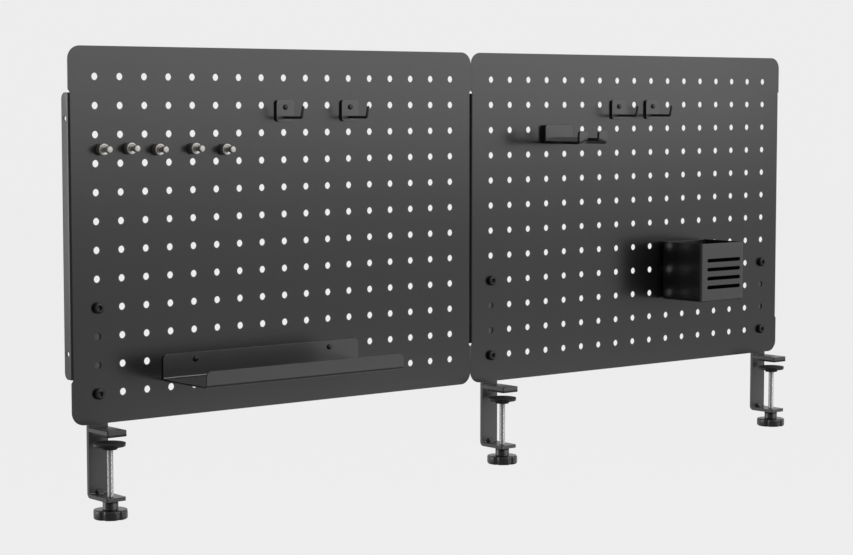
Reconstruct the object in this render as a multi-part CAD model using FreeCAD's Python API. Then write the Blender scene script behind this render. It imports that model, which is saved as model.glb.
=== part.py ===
import FreeCAD, Part
import math
import os

# Desk pegboard: two perforated steel panels joined edge to edge and held upright at the rear
# edge of a desk by three C-clamps. Hooks, a pen tray, a cup and a headphone hook hang in its
# holes, and magnets stick to its face.
# The origin is on the middle clamp's screw axis, in the plane of the desk's top, which the
# clamp's pad rests on. +X runs along the panels to the user's right, +Y away from the user.

# Perforated grid and sheet
pitch = 25.4
columns = 17
rows = 12
hole_d = 6.5
panel_sheet = 1.2
panel_margin = 26.7             # from the outer holes' centres to the panel's edge
panel_corner_r = 12.0
panel_gap = 0.8                 # between the two panels' touching sides

# Side flanges, bent back from the panel
flange_depth = 12.0             # from the panel's front face to the flange's rear edge
flange_length = 251.5
flange_corner_r = 6.0
panel_bend_r = 1.0              # inside radius
relief_height = 2.9             # V notch at each end of a bend
join_hole_d = 4.5
join_hole_back = 6.2            # behind the panel's front face
join_hole_spread = 103.1        # above and below the flange's middle

# Clamp brackets
clamp_columns = [(0, 0), (1, 0), (1, 16)]       # panel number and column
clamp_bolt_rows = [8, 11]
clamp_width = 20.0
clamp_plate = 3.4
clamp_bend_r = 1.0              # inside radius
clamp_top_over_bolt = 11.5
clamp_tip_r = 1.5
screw_reach = 18.0              # from the panel's front face to the screw's axis
upper_jaw_reach = 30.8          # from the panel's front face to the jaw's tip
lower_jaw_reach = 28.4
jaw_under_panel = 3.0           # from the panel's lower edge down to the upper jaw
jaw_opening = 53.9              # from the pad's underside down to the lower jaw
dart_width = 5.0
dart_leg = 4.5
pad_thickness = 2.0
pad_length = 24.0

# Clamp screws, feet and knobs
screw_d = 6.0
screw_clearance = 0.05          # radial, in the jaw's thread, the foot and the knob
screw_point = 1.0               # chamfer on the screw's upper end
foot_gap = 6.1                  # from the upper pad down to the foot
foot_d = 28.0
foot_disc = 2.3
foot_pad_thickness = 1.0
foot_boss_top_r = 7.8
foot_boss_r = 6.5
foot_boss_height = 2.8
foot_bore_depth = 3.6
knob_gap = 0.3                  # from the lower jaw down to the knob's hub
knob_hub_d = 13.9
knob_hub_height = 7.5
knob_d = 30.4
knob_height = 8.4
knob_edge_r = 1.2
knob_lobes = 6
knob_groove_r = 3.2
knob_groove_depth = 1.3
knob_angles = [30.8, 26.4, 26.9]
knob_bore_depth = 11.5

# Bracket bolts: M6 round heads in front, a washer and a nut behind
bolt_head_d = 10.0
bolt_head_height = 4.0
bolt_head_edge_r = 1.8
bolt_socket_af = 4.0
bolt_socket_depth = 2.5
bolt_d = 6.0
bolt_length = 12.0
washer_d = 12.0
washer_thickness = 1.6
nut_af = 10.0
nut_height = 5.0
thread_clearance = 0.05         # radial, between a nut's bore and its screw

# Joining screws between the panels: M4 button heads
join_d = 4.0
join_length = 8.0
join_head_d = 7.6
join_head_height = 2.2
join_head_edge_r = 1.4
join_socket_af = 2.5
join_socket_depth = 1.3
join_nut_af = 7.0
join_nut_height = 3.2
join_spacer_d = 9.0

# Pegs, which hang each accessory in the panel's holes
peg_head_d = 5.0
peg_head_height = 1.6
peg_head_edge_r = 1.0
peg_shank_d = 3.0
peg_neck_d = 2.5
peg_button_d = 6.0
peg_button_height = 1.5
peg_fit = 0.05                  # radial, in the accessory's plate
peg_seat = 0.2                  # from the hole's lowest point up to the neck
peg_button_gap = 0.3            # behind the panel

# Small hooks
hook_places = [(0, 8, 1), (0, 11, 1), (1, 7, 1), (1, 9, 1)]     # panel, column, row
hook_plate = 20.2
hook_plate_over_hole = 4.9
hook_plate_r = 3.0
hook_thickness = 2.5
hook_wire_d = 2.7
hook_wire_up = 3.9              # from the plate's lower edge up to the wire's axis
hook_reach = 29.4               # from the panel's front face to the lip's foot
hook_lip_height = 12.1          # above the wire's underside
hook_lip_lean = 2.2
hook_bend_r = 1.2               # inside

# Headphone hook
headphone_places = [(1, 3, 2), (1, 4, 2)]       # of its pegs: panel, column, row
headphone_width = 39.0
headphone_over_hole = 4.8       # pan's top edge above the pegs' holes
headphone_wall = 2.0
headphone_pan_depth = 5.6
headphone_pan_r = 3.0
saddle_thickness = 3.0
saddle_rise = 4.0
saddle_drop = 7.6               # from the pegs' holes down to the saddle's crown
saddle_reach = 56.2
prong_width = 11.5
prong_thickness = 3.0
prong_height = 6.4              # above the saddle's crown
prong_corner_r = 2.0
fork_depth = 24.0               # of the notch between the prongs, back from their front
fork_r = 5.0
headphone_peg_d = 5.0

# Tray
tray_places = [(0, 4, 10), (0, 10, 10)]         # of its pegs: panel, column, row
tray_width = 222.0
tray_sheet = 1.5
tray_bend_r = 1.8               # inside radius
tray_back_over_hole = 4.5
tray_drop = 19.4                # from the pegs' holes down to the tray's underside
tray_reach = 71.6
tray_lip_height = 15.0
tray_back_corner_r = 4.5
tray_lip_corner_r = 5.0

# Cup
cup_places = [(1, 10, 7), (1, 12, 7)]           # of its pegs: panel, column, row
cup_width = 66.0
cup_sheet = 1.2
cup_bend_r = 1.3                # inside radius
cup_shift = 2.1                 # of the cup to the left of its pegs
cup_foot_r = 2.0                # outside radius round the floor
cup_over_hole = 4.5
cup_height = 62.3
cup_reach = 61.0
cup_standoff = 3.0              # from the panel's front face to the cup's back
cup_slots = 4
cup_slot_length = 51.2
cup_slot_height = 3.9
cup_slot_pitch = 9.6
cup_slot_drop = 18.3            # from the cup's top edge to the first slot's axis
cup_collar_d = 8.0
cup_bumper_d = 8.0
cup_bumper_up = 8.6             # above the cup's underside
cup_bumper_edge_r = 1.0

# Magnets: offsets right of the left panel's first hole, and below it
magnet_offsets = [5.4, 33.7, 63.3, 101.8, 135.4]
magnet_drops = [63.8, 63.3, 64.6, 64.3, 65.5]
magnet_base_d = 10.5
magnet_base_height = 6.0
magnet_dish_r = 3.9             # hollow in the base's front
magnet_dish_depth = 0.8
magnet_waist_d = 4.5
magnet_waist_length = 5.5       # from the base's rim to the head
magnet_head_d = 6.2
magnet_head_height = 4.0
magnet_edge_r = 0.6
magnet_disc_d = 8.0
magnet_disc_height = 3.0
magnet_disc_fit = 0.05          # radial, in the base's pocket

# Heights and depths that follow from the sizes above
upper_jaw_under = pad_thickness
upper_jaw_top = upper_jaw_under + clamp_plate
panel_bottom = upper_jaw_top + jaw_under_panel
panel_width = (columns - 1) * pitch + 2 * panel_margin
panel_height = (rows - 1) * pitch + 2 * panel_margin
panel_top = panel_bottom + panel_height
panel_middle = (panel_bottom + panel_top) / 2
first_row = panel_top - panel_margin
panel_front = screw_reach
panel_back = panel_front + panel_sheet
panel_first_columns = [-(panel_width + panel_gap), 0.0]
lower_jaw_top = -jaw_opening
lower_jaw_under = lower_jaw_top - clamp_plate
foot_top = -foot_gap
foot_disc_top = foot_top - foot_pad_thickness
foot_disc_under = foot_disc_top - foot_disc
foot_boss_under = foot_disc_under - foot_boss_height
knob_top = lower_jaw_under - knob_gap
knob_disc_top = knob_top - knob_hub_height
knob_bottom = knob_disc_top - knob_height
neck_drop = hole_d / 2 - peg_neck_d / 2 - peg_seat

X = FreeCAD.Vector(1, 0, 0)
Y = FreeCAD.Vector(0, 1, 0)
Z = FreeCAD.Vector(0, 0, 1)


def hole_at(panel, column, row):
    """Centre of a panel's hole on the front face; columns count from the left, rows from the top."""
    x = panel_first_columns[panel] + column * pitch
    return FreeCAD.Vector(x, panel_front, first_row - row * pitch)


def in_front_view(y):
    """Maps (right, up) to a plane at depth y."""
    return lambda right, up: FreeCAD.Vector(right, y, up)


def in_side_view(x):
    """Maps (back, up) to a plane at x."""
    return lambda back, up: FreeCAD.Vector(x, back, up)


def in_plan(z):
    """Maps (right, back) to a plane at height z."""
    return lambda right, back: FreeCAD.Vector(right, back, z)


def outline(corners, to_space):
    """Closed wire through corners (a, b, radius), with a true arc wherever a radius is given."""
    points = [to_space(a, b) for a, b, radius in corners]
    ends = []
    edges = []
    for number, corner in enumerate(points):
        radius = corners[number][2]
        to_before = (points[number - 1] - corner).normalize()
        to_after = (points[(number + 1) % len(points)] - corner).normalize()
        if radius == 0:
            ends.append((corner, corner))
            continue
        half = to_before.getAngle(to_after) / 2
        start = corner + to_before * (radius / math.tan(half))
        end = corner + to_after * (radius / math.tan(half))
        inward = (to_before + to_after).normalize()
        middle = corner + inward * (radius / math.sin(half) - radius)
        edges.append(Part.Arc(start, middle, end).toShape())
        ends.append((start, end))
    for number, (start, end) in enumerate(ends):
        following = ends[(number + 1) % len(ends)][0]
        if (following - end).Length > 1e-6:
            edges.append(Part.makeLine(end, following))
    return Part.Wire(Part.__sortEdges__(edges))


def plate(corners, to_space, along, holes=()):
    """Flat piece: an outline with round holes (centre, diameter), extruded by a vector."""
    wires = [outline(corners, to_space)]
    for centre, diameter in holes:
        wires.append(Part.Wire(Part.makeCircle(diameter / 2, centre, along)))
    face = Part.Face(wires, "Part::FaceMakerBullseye")
    return face.extrude(along)


def lathe(profile, place, axis):
    """Turned piece: a profile of (radius, height, fillet) corners revolved about an axis at a place."""
    face = Part.Face(outline(profile, in_side_view(0)))
    turned = face.revolve(FreeCAD.Vector(0, 0, 0), Z, 360)
    turned.Placement = FreeCAD.Placement(place, FreeCAD.Rotation(Z, axis))
    return turned


def rod(diameter, start, along):
    return Part.makeCylinder(diameter / 2, along.Length, start, along)


def hexagon(across_flats, start, along):
    """Hexagonal prism with flats across the given distance."""
    corner_r = across_flats / math.sqrt(3)
    points = []
    for corner in range(7):
        turn = math.radians(60 * corner)
        points.append(FreeCAD.Vector(corner_r * math.cos(turn), corner_r * math.sin(turn), 0))
    prism = Part.Face(Part.makePolygon(points)).extrude(Z * along.Length)
    prism.Placement = FreeCAD.Placement(start, FreeCAD.Rotation(Z, along))
    return prism


def socket_screw(diameter, length, head_d, head_height, head_edge_r, af, depth, seat, axis):
    """Round-headed screw with a hexagon socket; seat is under the head, axis runs into the thread."""
    profile = [
        (0, -head_height, 0),
        (head_d / 2, -head_height, head_edge_r),
        (head_d / 2, 0, 0),
        (diameter / 2, 0, 0),
        (diameter / 2, length, 0),
        (0, length, 0),
    ]
    screw = lathe(profile, seat, axis)
    return screw.cut(hexagon(af, seat - axis * head_height, axis * depth))


def peg(hole, plate_front, plate_back, head_d, collar_d):
    """Turned peg: a head on the accessory's plate, a collar behind it if the plate stands off the
    panel, a neck in the panel's hole and a button behind it. plate_front and plate_back are
    distances in front of the panel; head_d is 0 where the peg starts flush with the plate."""
    profile = [(0, -plate_front, 0)]
    if head_d > 0:
        profile = [
            (0, -plate_front - peg_head_height, 0),
            (head_d / 2, -plate_front - peg_head_height, peg_head_edge_r),
            (head_d / 2, -plate_front, 0),
            (peg_shank_d / 2, -plate_front, 0),
        ]
    else:
        profile.append((collar_d / 2, -plate_front, 0))
    if collar_d > 0:
        if head_d > 0:
            profile.append((peg_shank_d / 2, -plate_back, 0))
            profile.append((collar_d / 2, -plate_back, 0))
        profile.append((collar_d / 2, 0, 0))
    else:
        profile.append((peg_shank_d / 2, 0, 0))
    button_front = panel_sheet + peg_button_gap
    profile += [
        (peg_neck_d / 2, 0, 0),
        (peg_neck_d / 2, button_front, 0),
        (peg_button_d / 2, button_front, 0),
        (peg_button_d / 2, button_front + peg_button_height, 0),
        (0, button_front + peg_button_height, 0),
    ]
    return lathe(profile, hole - Z * neck_drop, Y)


def shank_hole(hole, front, depth):
    """Hole for a peg's shank through an accessory's plate, starting at depth front from the panel."""
    start = hole - Z * neck_drop - Y * front
    return rod(peg_shank_d + 2 * peg_fit, start, Y * depth)


def panel(number):
    """Perforated panel with a notched, bent flange on each side."""
    left = panel_first_columns[number] - panel_margin
    right = left + panel_width
    bend_out = panel_bend_r + panel_sheet
    flange_top = panel_middle + flange_length / 2
    flange_bottom = panel_middle - flange_length / 2
    corners = [
        (left, panel_bottom, panel_corner_r),
        (right, panel_bottom, panel_corner_r),
        (right, flange_bottom - relief_height, 0),
        (right - bend_out, flange_bottom, 0),
        (right - bend_out, flange_top, 0),
        (right, flange_top + relief_height, 0),
        (right, panel_top, panel_corner_r),
        (left, panel_top, panel_corner_r),
        (left, flange_top + relief_height, 0),
        (left + bend_out, flange_top, 0),
        (left + bend_out, flange_bottom, 0),
        (left, flange_bottom - relief_height, 0),
    ]
    holes = []
    for column in range(columns):
        for row in range(rows):
            holes.append((hole_at(number, column, row), hole_d))
    shape = plate(corners, in_front_view(panel_front), Y * panel_sheet, holes)
    for edge, inward in [(left, 1), (right, -1)]:
        bend_centre = FreeCAD.Vector(edge + inward * bend_out, panel_front + bend_out, flange_bottom)
        bend = Part.makeCylinder(bend_out, flange_length, bend_centre)
        bend = bend.cut(Part.makeCylinder(panel_bend_r, flange_length, bend_centre))
        quarter = Part.makeBox(bend_out, bend_out, flange_length)
        quarter.translate(FreeCAD.Vector(min(edge, bend_centre.x), panel_front, flange_bottom))
        bend = bend.common(quarter)
        flange_corners = [
            (bend_centre.y, flange_bottom, 0),
            (panel_front + flange_depth, flange_bottom, flange_corner_r),
            (panel_front + flange_depth, flange_top, flange_corner_r),
            (bend_centre.y, flange_top, 0),
        ]
        join_holes = []
        for side in (-1, 1):
            height = panel_middle + side * join_hole_spread
            join_holes.append((FreeCAD.Vector(edge, panel_front + join_hole_back, height), join_hole_d))
        flange = plate(flange_corners, in_side_view(edge), X * inward * panel_sheet, join_holes)
        shape = shape.fuse([bend, flange])
    return shape.removeSplitter()


def clamp_bracket(x):
    """Clamp body: a bar bolted behind the panel, bent forward into the tapped lower jaw, with the
    upper jaw welded across its front."""
    bar_front = panel_back
    bar_back = bar_front + clamp_plate
    bar_top = hole_at(0, 0, clamp_bolt_rows[0]).z + clamp_top_over_bolt
    left = x - clamp_width / 2
    right = x + clamp_width / 2
    lower_tip = panel_front - lower_jaw_reach
    upper_tip = panel_front - upper_jaw_reach
    bend_out = clamp_bend_r + clamp_plate
    profile = [
        (bar_back, bar_top, 0),
        (bar_back, lower_jaw_under, bend_out),
        (lower_tip, lower_jaw_under, 0),
        (lower_tip, lower_jaw_top, 0),
        (bar_front, lower_jaw_top, clamp_bend_r),
        (bar_front, bar_top, 0),
    ]
    bar = plate(profile, in_side_view(left), X * clamp_width)
    tip_height = FreeCAD.Vector(0, 0, clamp_plate)
    blank = [
        (left, lower_tip, clamp_tip_r),
        (right, lower_tip, clamp_tip_r),
        (right, bar_back, 0),
        (left, bar_back, 0),
    ]
    rounded = plate(blank, in_plan(lower_jaw_under), Z * (bar_top - lower_jaw_under))
    bar = bar.common(rounded)
    upper = [
        (left, upper_tip, clamp_tip_r),
        (right, upper_tip, clamp_tip_r),
        (right, bar_front, 0),
        (left, bar_front, 0),
    ]
    upper_jaw = plate(upper, in_plan(upper_jaw_under), tip_height)
    dart = [
        (bar_front, lower_jaw_top, 0),
        (bar_front - dart_leg, lower_jaw_top, 0),
        (bar_front, lower_jaw_top + dart_leg, 0),
    ]
    stiffener = plate(dart, in_side_view(x - dart_width / 2), X * dart_width)
    shape = bar.fuse([upper_jaw, stiffener])
    for row in clamp_bolt_rows:
        bolt_hole = FreeCAD.Vector(x, bar_front, hole_at(0, 0, row).z)
        shape = shape.cut(rod(hole_d, bolt_hole, Y * clamp_plate))
    thread = FreeCAD.Vector(x, 0, lower_jaw_under)
    shape = shape.cut(rod(screw_d + 2 * screw_clearance, thread, Z * clamp_plate))
    return shape.removeSplitter()


def upper_pad(x):
    """Rubber pad under the upper jaw, flush with its tip."""
    tip = panel_front - upper_jaw_reach
    corners = [
        (x - clamp_width / 2, tip, clamp_tip_r),
        (x + clamp_width / 2, tip, clamp_tip_r),
        (x + clamp_width / 2, tip + pad_length, 0),
        (x - clamp_width / 2, tip + pad_length, 0),
    ]
    return plate(corners, in_plan(0), Z * pad_thickness)


def foot(x):
    """Swivelling foot: a disc with a coned boss that holds the screw's end."""
    bore_r = screw_d / 2 + screw_clearance
    profile = [
        (0, foot_disc_top, 0),
        (foot_d / 2, foot_disc_top, 0),
        (foot_d / 2, foot_disc_under, 0),
        (foot_boss_top_r, foot_disc_under, 0),
        (foot_boss_r, foot_boss_under, 0),
        (bore_r, foot_boss_under, 0),
        (bore_r, foot_boss_under + foot_bore_depth, 0),
        (0, foot_boss_under + foot_bore_depth, 0),
    ]
    return lathe(profile, FreeCAD.Vector(x, 0, 0), Z)


def foot_pad(x):
    return rod(foot_d, FreeCAD.Vector(x, 0, foot_disc_top), Z * foot_pad_thickness)


def clamp_screw(x):
    """Clamp screw, from its point in the foot down into the knob."""
    top = foot_boss_under + foot_bore_depth
    profile = [
        (0, knob_top - knob_bore_depth, 0),
        (screw_d / 2, knob_top - knob_bore_depth, 0),
        (screw_d / 2, top - screw_point, 0),
        (screw_d / 2 - screw_point, top, 0),
        (0, top, 0),
    ]
    return lathe(profile, FreeCAD.Vector(x, 0, 0), Z)


def knob(x, first_groove):
    """Lobed knob with a round hub; first_groove is a groove's angle from +X."""
    bottom = FreeCAD.Vector(x, 0, knob_bottom)
    disc = rod(knob_d, bottom, Z * knob_height)
    groove_centre_r = knob_d / 2 - knob_groove_depth + knob_groove_r
    for lobe in range(knob_lobes):
        turn = math.radians(first_groove + 360 * lobe / knob_lobes)
        sideways = FreeCAD.Vector(math.cos(turn), math.sin(turn), 0) * groove_centre_r
        disc = disc.cut(rod(2 * knob_groove_r, bottom + sideways, Z * knob_height))
    rims = []
    for edge in disc.Edges:
        if edge.BoundBox.ZLength < 1e-6:
            rims.append(edge)
    disc = disc.makeFillet(knob_edge_r, rims)
    hub = rod(knob_hub_d, FreeCAD.Vector(x, 0, knob_disc_top), Z * knob_hub_height)
    bore_start = FreeCAD.Vector(x, 0, knob_top - knob_bore_depth)
    bore = rod(screw_d + 2 * screw_clearance, bore_start, Z * knob_bore_depth)
    return disc.fuse(hub).cut(bore).removeSplitter()


def bracket_bolt(seat):
    return socket_screw(bolt_d, bolt_length, bolt_head_d, bolt_head_height, bolt_head_edge_r,
                        bolt_socket_af, bolt_socket_depth, seat, Y)


def ring(outer_d, inner_d, start, along):
    return rod(outer_d, start, along).cut(rod(inner_d, start, along))


def nut(across_flats, bore_d, start, along):
    """Hexagon nut with its corners turned off towards both faces."""
    corner_r = across_flats / math.sqrt(3)
    turned_off = (corner_r - across_flats / 2) * 0.6
    height = along.Length
    blank = [
        (bore_d / 2, 0, 0),
        (corner_r - turned_off, 0, 0),
        (corner_r, turned_off, 0),
        (corner_r, height - turned_off, 0),
        (corner_r - turned_off, height, 0),
        (bore_d / 2, height, 0),
    ]
    direction = FreeCAD.Vector(along).normalize()
    return lathe(blank, start, direction).common(hexagon(across_flats, start, along))


def bent_wire(diameter, start, corner, end, bend_r):
    """Round wire from start to end, bent at the corner round an inside radius, its end a half ball."""
    to_start = (start - corner).normalize()
    to_end = (end - corner).normalize()
    inward = (to_start + to_end).normalize()
    half_turn = to_start.getAngle(to_end) / 2
    axis_r = bend_r + diameter / 2
    bend_start = corner + to_start * (axis_r / math.tan(half_turn))
    bend_end = corner + to_end * (axis_r / math.tan(half_turn))
    bend_middle = corner + inward * (axis_r / math.sin(half_turn) - axis_r)
    bend = Part.Arc(bend_start, bend_middle, bend_end).toShape()
    route = Part.Wire([Part.makeLine(start, bend_start), bend, Part.makeLine(bend_end, end)])
    section = Part.Face(Part.Wire(Part.makeCircle(diameter / 2, start, to_start)))
    return route.makePipe(section).fuse(Part.makeSphere(diameter / 2, end))


def hook(hole):
    """Small hook: a square plate, and a wire welded to it that runs forward and bends up into a lip."""
    plate_top = hole.z + hook_plate_over_hole
    plate_bottom = plate_top - hook_plate
    half = hook_plate / 2
    corners = [
        (hole.x - half, plate_bottom, hook_plate_r),
        (hole.x + half, plate_bottom, hook_plate_r),
        (hole.x + half, plate_top, hook_plate_r),
        (hole.x - half, plate_top, hook_plate_r),
    ]
    back_plate = plate(corners, in_front_view(panel_front - hook_thickness), Y * hook_thickness)
    wire_z = plate_bottom + hook_wire_up
    lip_foot = panel_front - hook_reach + hook_wire_d / 2
    lip_end_z = wire_z + hook_lip_height - hook_wire_d
    root = FreeCAD.Vector(hole.x, panel_front - hook_thickness / 2, wire_z)
    foot = FreeCAD.Vector(hole.x, lip_foot, wire_z)
    end = FreeCAD.Vector(hole.x, lip_foot - hook_lip_lean, lip_end_z)
    shape = back_plate.fuse(bent_wire(hook_wire_d, root, foot, end, hook_bend_r))
    return shape.cut(shank_hole(hole, hook_thickness, hook_thickness)).removeSplitter()


def arch(middle_x, crown, y, along):
    """Arched strip under a crown height, as wide as the headphone hook and thick as its saddle."""
    half = headphone_width / 2
    arch_r = (half ** 2 + saddle_rise ** 2) / (2 * saddle_rise)
    edge_top = crown - saddle_rise
    under = crown - saddle_thickness
    to_space = in_front_view(y)
    upper = Part.Arc(to_space(middle_x - half, edge_top), to_space(middle_x, crown),
                     to_space(middle_x + half, edge_top)).toShape()
    inner_r = arch_r - saddle_thickness
    edge_under = under - inner_r + math.sqrt(inner_r ** 2 - half ** 2)
    lower = Part.Arc(to_space(middle_x + half, edge_under), to_space(middle_x, under),
                     to_space(middle_x - half, edge_under)).toShape()
    right = Part.makeLine(to_space(middle_x + half, edge_top), to_space(middle_x + half, edge_under))
    left = Part.makeLine(to_space(middle_x - half, edge_under), to_space(middle_x - half, edge_top))
    return Part.Face(Part.Wire([upper, right, lower, left])).extrude(along)


def headphone_hook(holes):
    """Headphone hook: a shallow pan on the panel and an arched saddle forked into two prongs."""
    middle_x = (holes[0].x + holes[1].x) / 2
    half = headphone_width / 2
    top = holes[0].z + headphone_over_hole
    crown = holes[0].z - saddle_drop
    saddle_side = crown - saddle_rise - saddle_thickness / 2
    tip = panel_front - saddle_reach
    pan_front = panel_front - headphone_pan_depth
    outer = [
        (middle_x - half, saddle_side, 0),
        (middle_x + half, saddle_side, 0),
        (middle_x + half, top, headphone_pan_r),
        (middle_x - half, top, headphone_pan_r),
    ]
    pan = plate(outer, in_front_view(pan_front), Y * headphone_pan_depth)
    inset = headphone_wall
    inner = [
        (middle_x - half + inset, saddle_side, 0),
        (middle_x + half - inset, saddle_side, 0),
        (middle_x + half - inset, top - inset, headphone_pan_r - inset),
        (middle_x - half + inset, top - inset, headphone_pan_r - inset),
    ]
    hollow = plate(inner, in_front_view(pan_front + inset), Y * (headphone_pan_depth - inset))
    below = arch(middle_x, crown - saddle_thickness / 2, pan_front, Y * headphone_pan_depth)
    under = arch(middle_x, crown - 1.5 * saddle_thickness, pan_front, Y * headphone_pan_depth)
    pan = pan.cut([hollow, below, under])
    pan = max(pan.Solids, key=lambda solid: solid.BoundBox.ZMax)
    saddle = arch(middle_x, crown, tip, Y * saddle_reach)
    notch_half = half - prong_width
    notch_back = tip + fork_depth
    notch = [
        (middle_x - notch_half, tip, 0),
        (middle_x + notch_half, tip, 0),
        (middle_x + notch_half, notch_back, fork_r),
        (middle_x - notch_half, notch_back, fork_r),
    ]
    saddle = saddle.cut(plate(notch, in_plan(saddle_side - saddle_thickness), Z * 3 * saddle_thickness))
    parts = [saddle]
    for side in (-1, 1):
        outside = middle_x + side * half
        inside = outside - side * prong_width
        corners = [
            (outside, saddle_side, 0),
            (outside, crown + prong_height, prong_corner_r),
            (inside, crown + prong_height, prong_corner_r),
            (inside, crown - saddle_thickness / 2, 0),
        ]
        parts.append(plate(corners, in_front_view(tip), Y * prong_thickness))
    return pan.fuse(parts).removeSplitter()


def tray(holes):
    """Pen tray: one sheet bent up into a back plate and a front lip, open at both ends."""
    middle_x = (holes[0].x + holes[1].x) / 2
    left = middle_x - tray_width / 2
    right = middle_x + tray_width / 2
    back_top = holes[0].z + tray_back_over_hole
    under = holes[0].z - tray_drop
    floor = under + tray_sheet
    lip_top = under + tray_lip_height
    front = panel_front - tray_reach
    bend_out = tray_bend_r + tray_sheet
    profile = [
        (panel_front, back_top, 0),
        (panel_front, under, bend_out),
        (front, under, bend_out),
        (front, lip_top, 0),
        (front + tray_sheet, lip_top, 0),
        (front + tray_sheet, floor, tray_bend_r),
        (panel_front - tray_sheet, floor, tray_bend_r),
        (panel_front - tray_sheet, back_top, 0),
    ]
    shape = plate(profile, in_side_view(left), X * tray_width)
    back_blank = [
        (left, under, 0),
        (right, under, 0),
        (right, back_top, tray_back_corner_r),
        (left, back_top, tray_back_corner_r),
    ]
    lip_blank = [
        (left, under, 0),
        (right, under, 0),
        (right, lip_top, tray_lip_corner_r),
        (left, lip_top, tray_lip_corner_r),
    ]
    half_reach = tray_reach / 2
    behind = plate(back_blank, in_front_view(panel_front - half_reach), Y * half_reach)
    before = plate(lip_blank, in_front_view(front), Y * half_reach)
    shape = shape.common(behind.fuse(before))
    for hole in holes:
        shape = shape.cut(shank_hole(hole, tray_sheet, tray_sheet))
    return shape.removeSplitter()


def cup_block(left, right, front, back, bottom, top, corner_r, foot_r):
    """Upright block with rounded corners, and rounded all the way round its foot."""
    corners = [
        (left, front, corner_r),
        (right, front, corner_r),
        (right, back, corner_r),
        (left, back, corner_r),
    ]
    block = plate(corners, in_plan(bottom), Z * (top - bottom))
    foot_edges = [edge for edge in block.Edges if edge.BoundBox.ZMax < bottom + 1e-6]
    return block.makeFillet(foot_r, foot_edges)


def cup(holes):
    """Cup: a bent sheet box, open at the top, with a row of long slots across its front."""
    slot_middle = (holes[0].x + holes[1].x) / 2
    left = slot_middle - cup_shift - cup_width / 2
    right = left + cup_width
    top = holes[0].z + cup_over_hole
    bottom = top - cup_height
    front = panel_front - cup_reach
    back = panel_front - cup_standoff
    outside = cup_block(left, right, front, back, bottom, top, cup_bend_r + cup_sheet, cup_foot_r)
    inside = cup_block(left + cup_sheet, right - cup_sheet, front + cup_sheet, back - cup_sheet,
                       bottom + cup_sheet, top, cup_bend_r, cup_foot_r - cup_sheet)
    shape = outside.cut(inside)
    slot_left = slot_middle - cup_slot_length / 2
    slot_right = slot_middle + cup_slot_length / 2
    end_r = cup_slot_height / 2
    for number in range(cup_slots):
        axis_z = top - cup_slot_drop - number * cup_slot_pitch
        straight = Part.makeBox(cup_slot_length - 2 * end_r, cup_sheet, cup_slot_height)
        straight.translate(FreeCAD.Vector(slot_left + end_r, front, axis_z - end_r))
        left_end = rod(cup_slot_height, FreeCAD.Vector(slot_left + end_r, front, axis_z), Y * cup_sheet)
        right_end = rod(cup_slot_height, FreeCAD.Vector(slot_right - end_r, front, axis_z), Y * cup_sheet)
        shape = shape.cut(straight.fuse([left_end, right_end]))
    for hole in holes:
        shape = shape.cut(shank_hole(hole, cup_standoff + cup_sheet, cup_sheet))
    return shape.removeSplitter()


def cup_bumper(hole):
    """Round bumper that keeps the cup's foot as far off the panel as the pegs' collars do."""
    cup_bottom = hole.z + cup_over_hole - cup_height
    place = FreeCAD.Vector(hole.x, panel_front - cup_standoff, cup_bottom + cup_bumper_up)
    profile = [
        (0, 0, 0),
        (cup_bumper_d / 2, 0, 0),
        (cup_bumper_d / 2, cup_standoff, cup_bumper_edge_r),
        (0, cup_standoff, 0),
    ]
    return lathe(profile, place, Y)


def magnet_shell(place):
    """Push-pin magnet: a cup-shaped base on the panel, a waist and a round head, turned in one."""
    waist_end = magnet_base_height + magnet_waist_length
    head_end = waist_end + magnet_head_height
    pocket_r = magnet_disc_d / 2 + magnet_disc_fit
    profile = [
        (0, magnet_disc_height, 0),
        (pocket_r, magnet_disc_height, 0),
        (pocket_r, 0, 0),
        (magnet_base_d / 2, 0, 0),
        (magnet_base_d / 2, magnet_base_height, magnet_edge_r),
        (magnet_dish_r, magnet_base_height, 0),
        (magnet_waist_d / 2, magnet_base_height - magnet_dish_depth, 0),
        (magnet_waist_d / 2, waist_end, 0),
        (magnet_head_d / 2, waist_end, magnet_edge_r),
        (magnet_head_d / 2, head_end, magnet_edge_r),
        (0, head_end, 0),
    ]
    return lathe(profile, place, -Y)


def magnet_disc(place):
    return rod(magnet_disc_d, place - Y * magnet_disc_height, Y * magnet_disc_height)


def together(shapes):
    return Part.makeCompound(shapes)


nodes = {}
nodes["left_panel"] = panel(0)
nodes["right_panel"] = panel(1)

bolts = []
washers = []
nuts = []
for index, (panel_number, column) in enumerate(clamp_columns):
    name = "clamp%d_" % (index + 1)
    clamp_x = hole_at(panel_number, column, 0).x
    nodes[name + "bracket"] = clamp_bracket(clamp_x)
    nodes[name + "upper_pad"] = upper_pad(clamp_x)
    nodes[name + "foot"] = foot(clamp_x)
    nodes[name + "foot_pad"] = foot_pad(clamp_x)
    nodes[name + "screw"] = clamp_screw(clamp_x)
    nodes[name + "knob"] = knob(clamp_x, knob_angles[index])
    for row in clamp_bolt_rows:
        seat = hole_at(panel_number, column, row)
        washer_start = seat + Y * (panel_sheet + clamp_plate)
        nut_start = washer_start + Y * washer_thickness
        bolts.append(bracket_bolt(seat))
        washers.append(ring(washer_d, hole_d, washer_start, Y * washer_thickness))
        nuts.append(nut(nut_af, bolt_d + 2 * thread_clearance, nut_start, Y * nut_height))
nodes["bracket_bolts"] = together(bolts)
nodes["bracket_washers"] = together(washers)
nodes["bracket_nuts"] = together(nuts)

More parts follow.
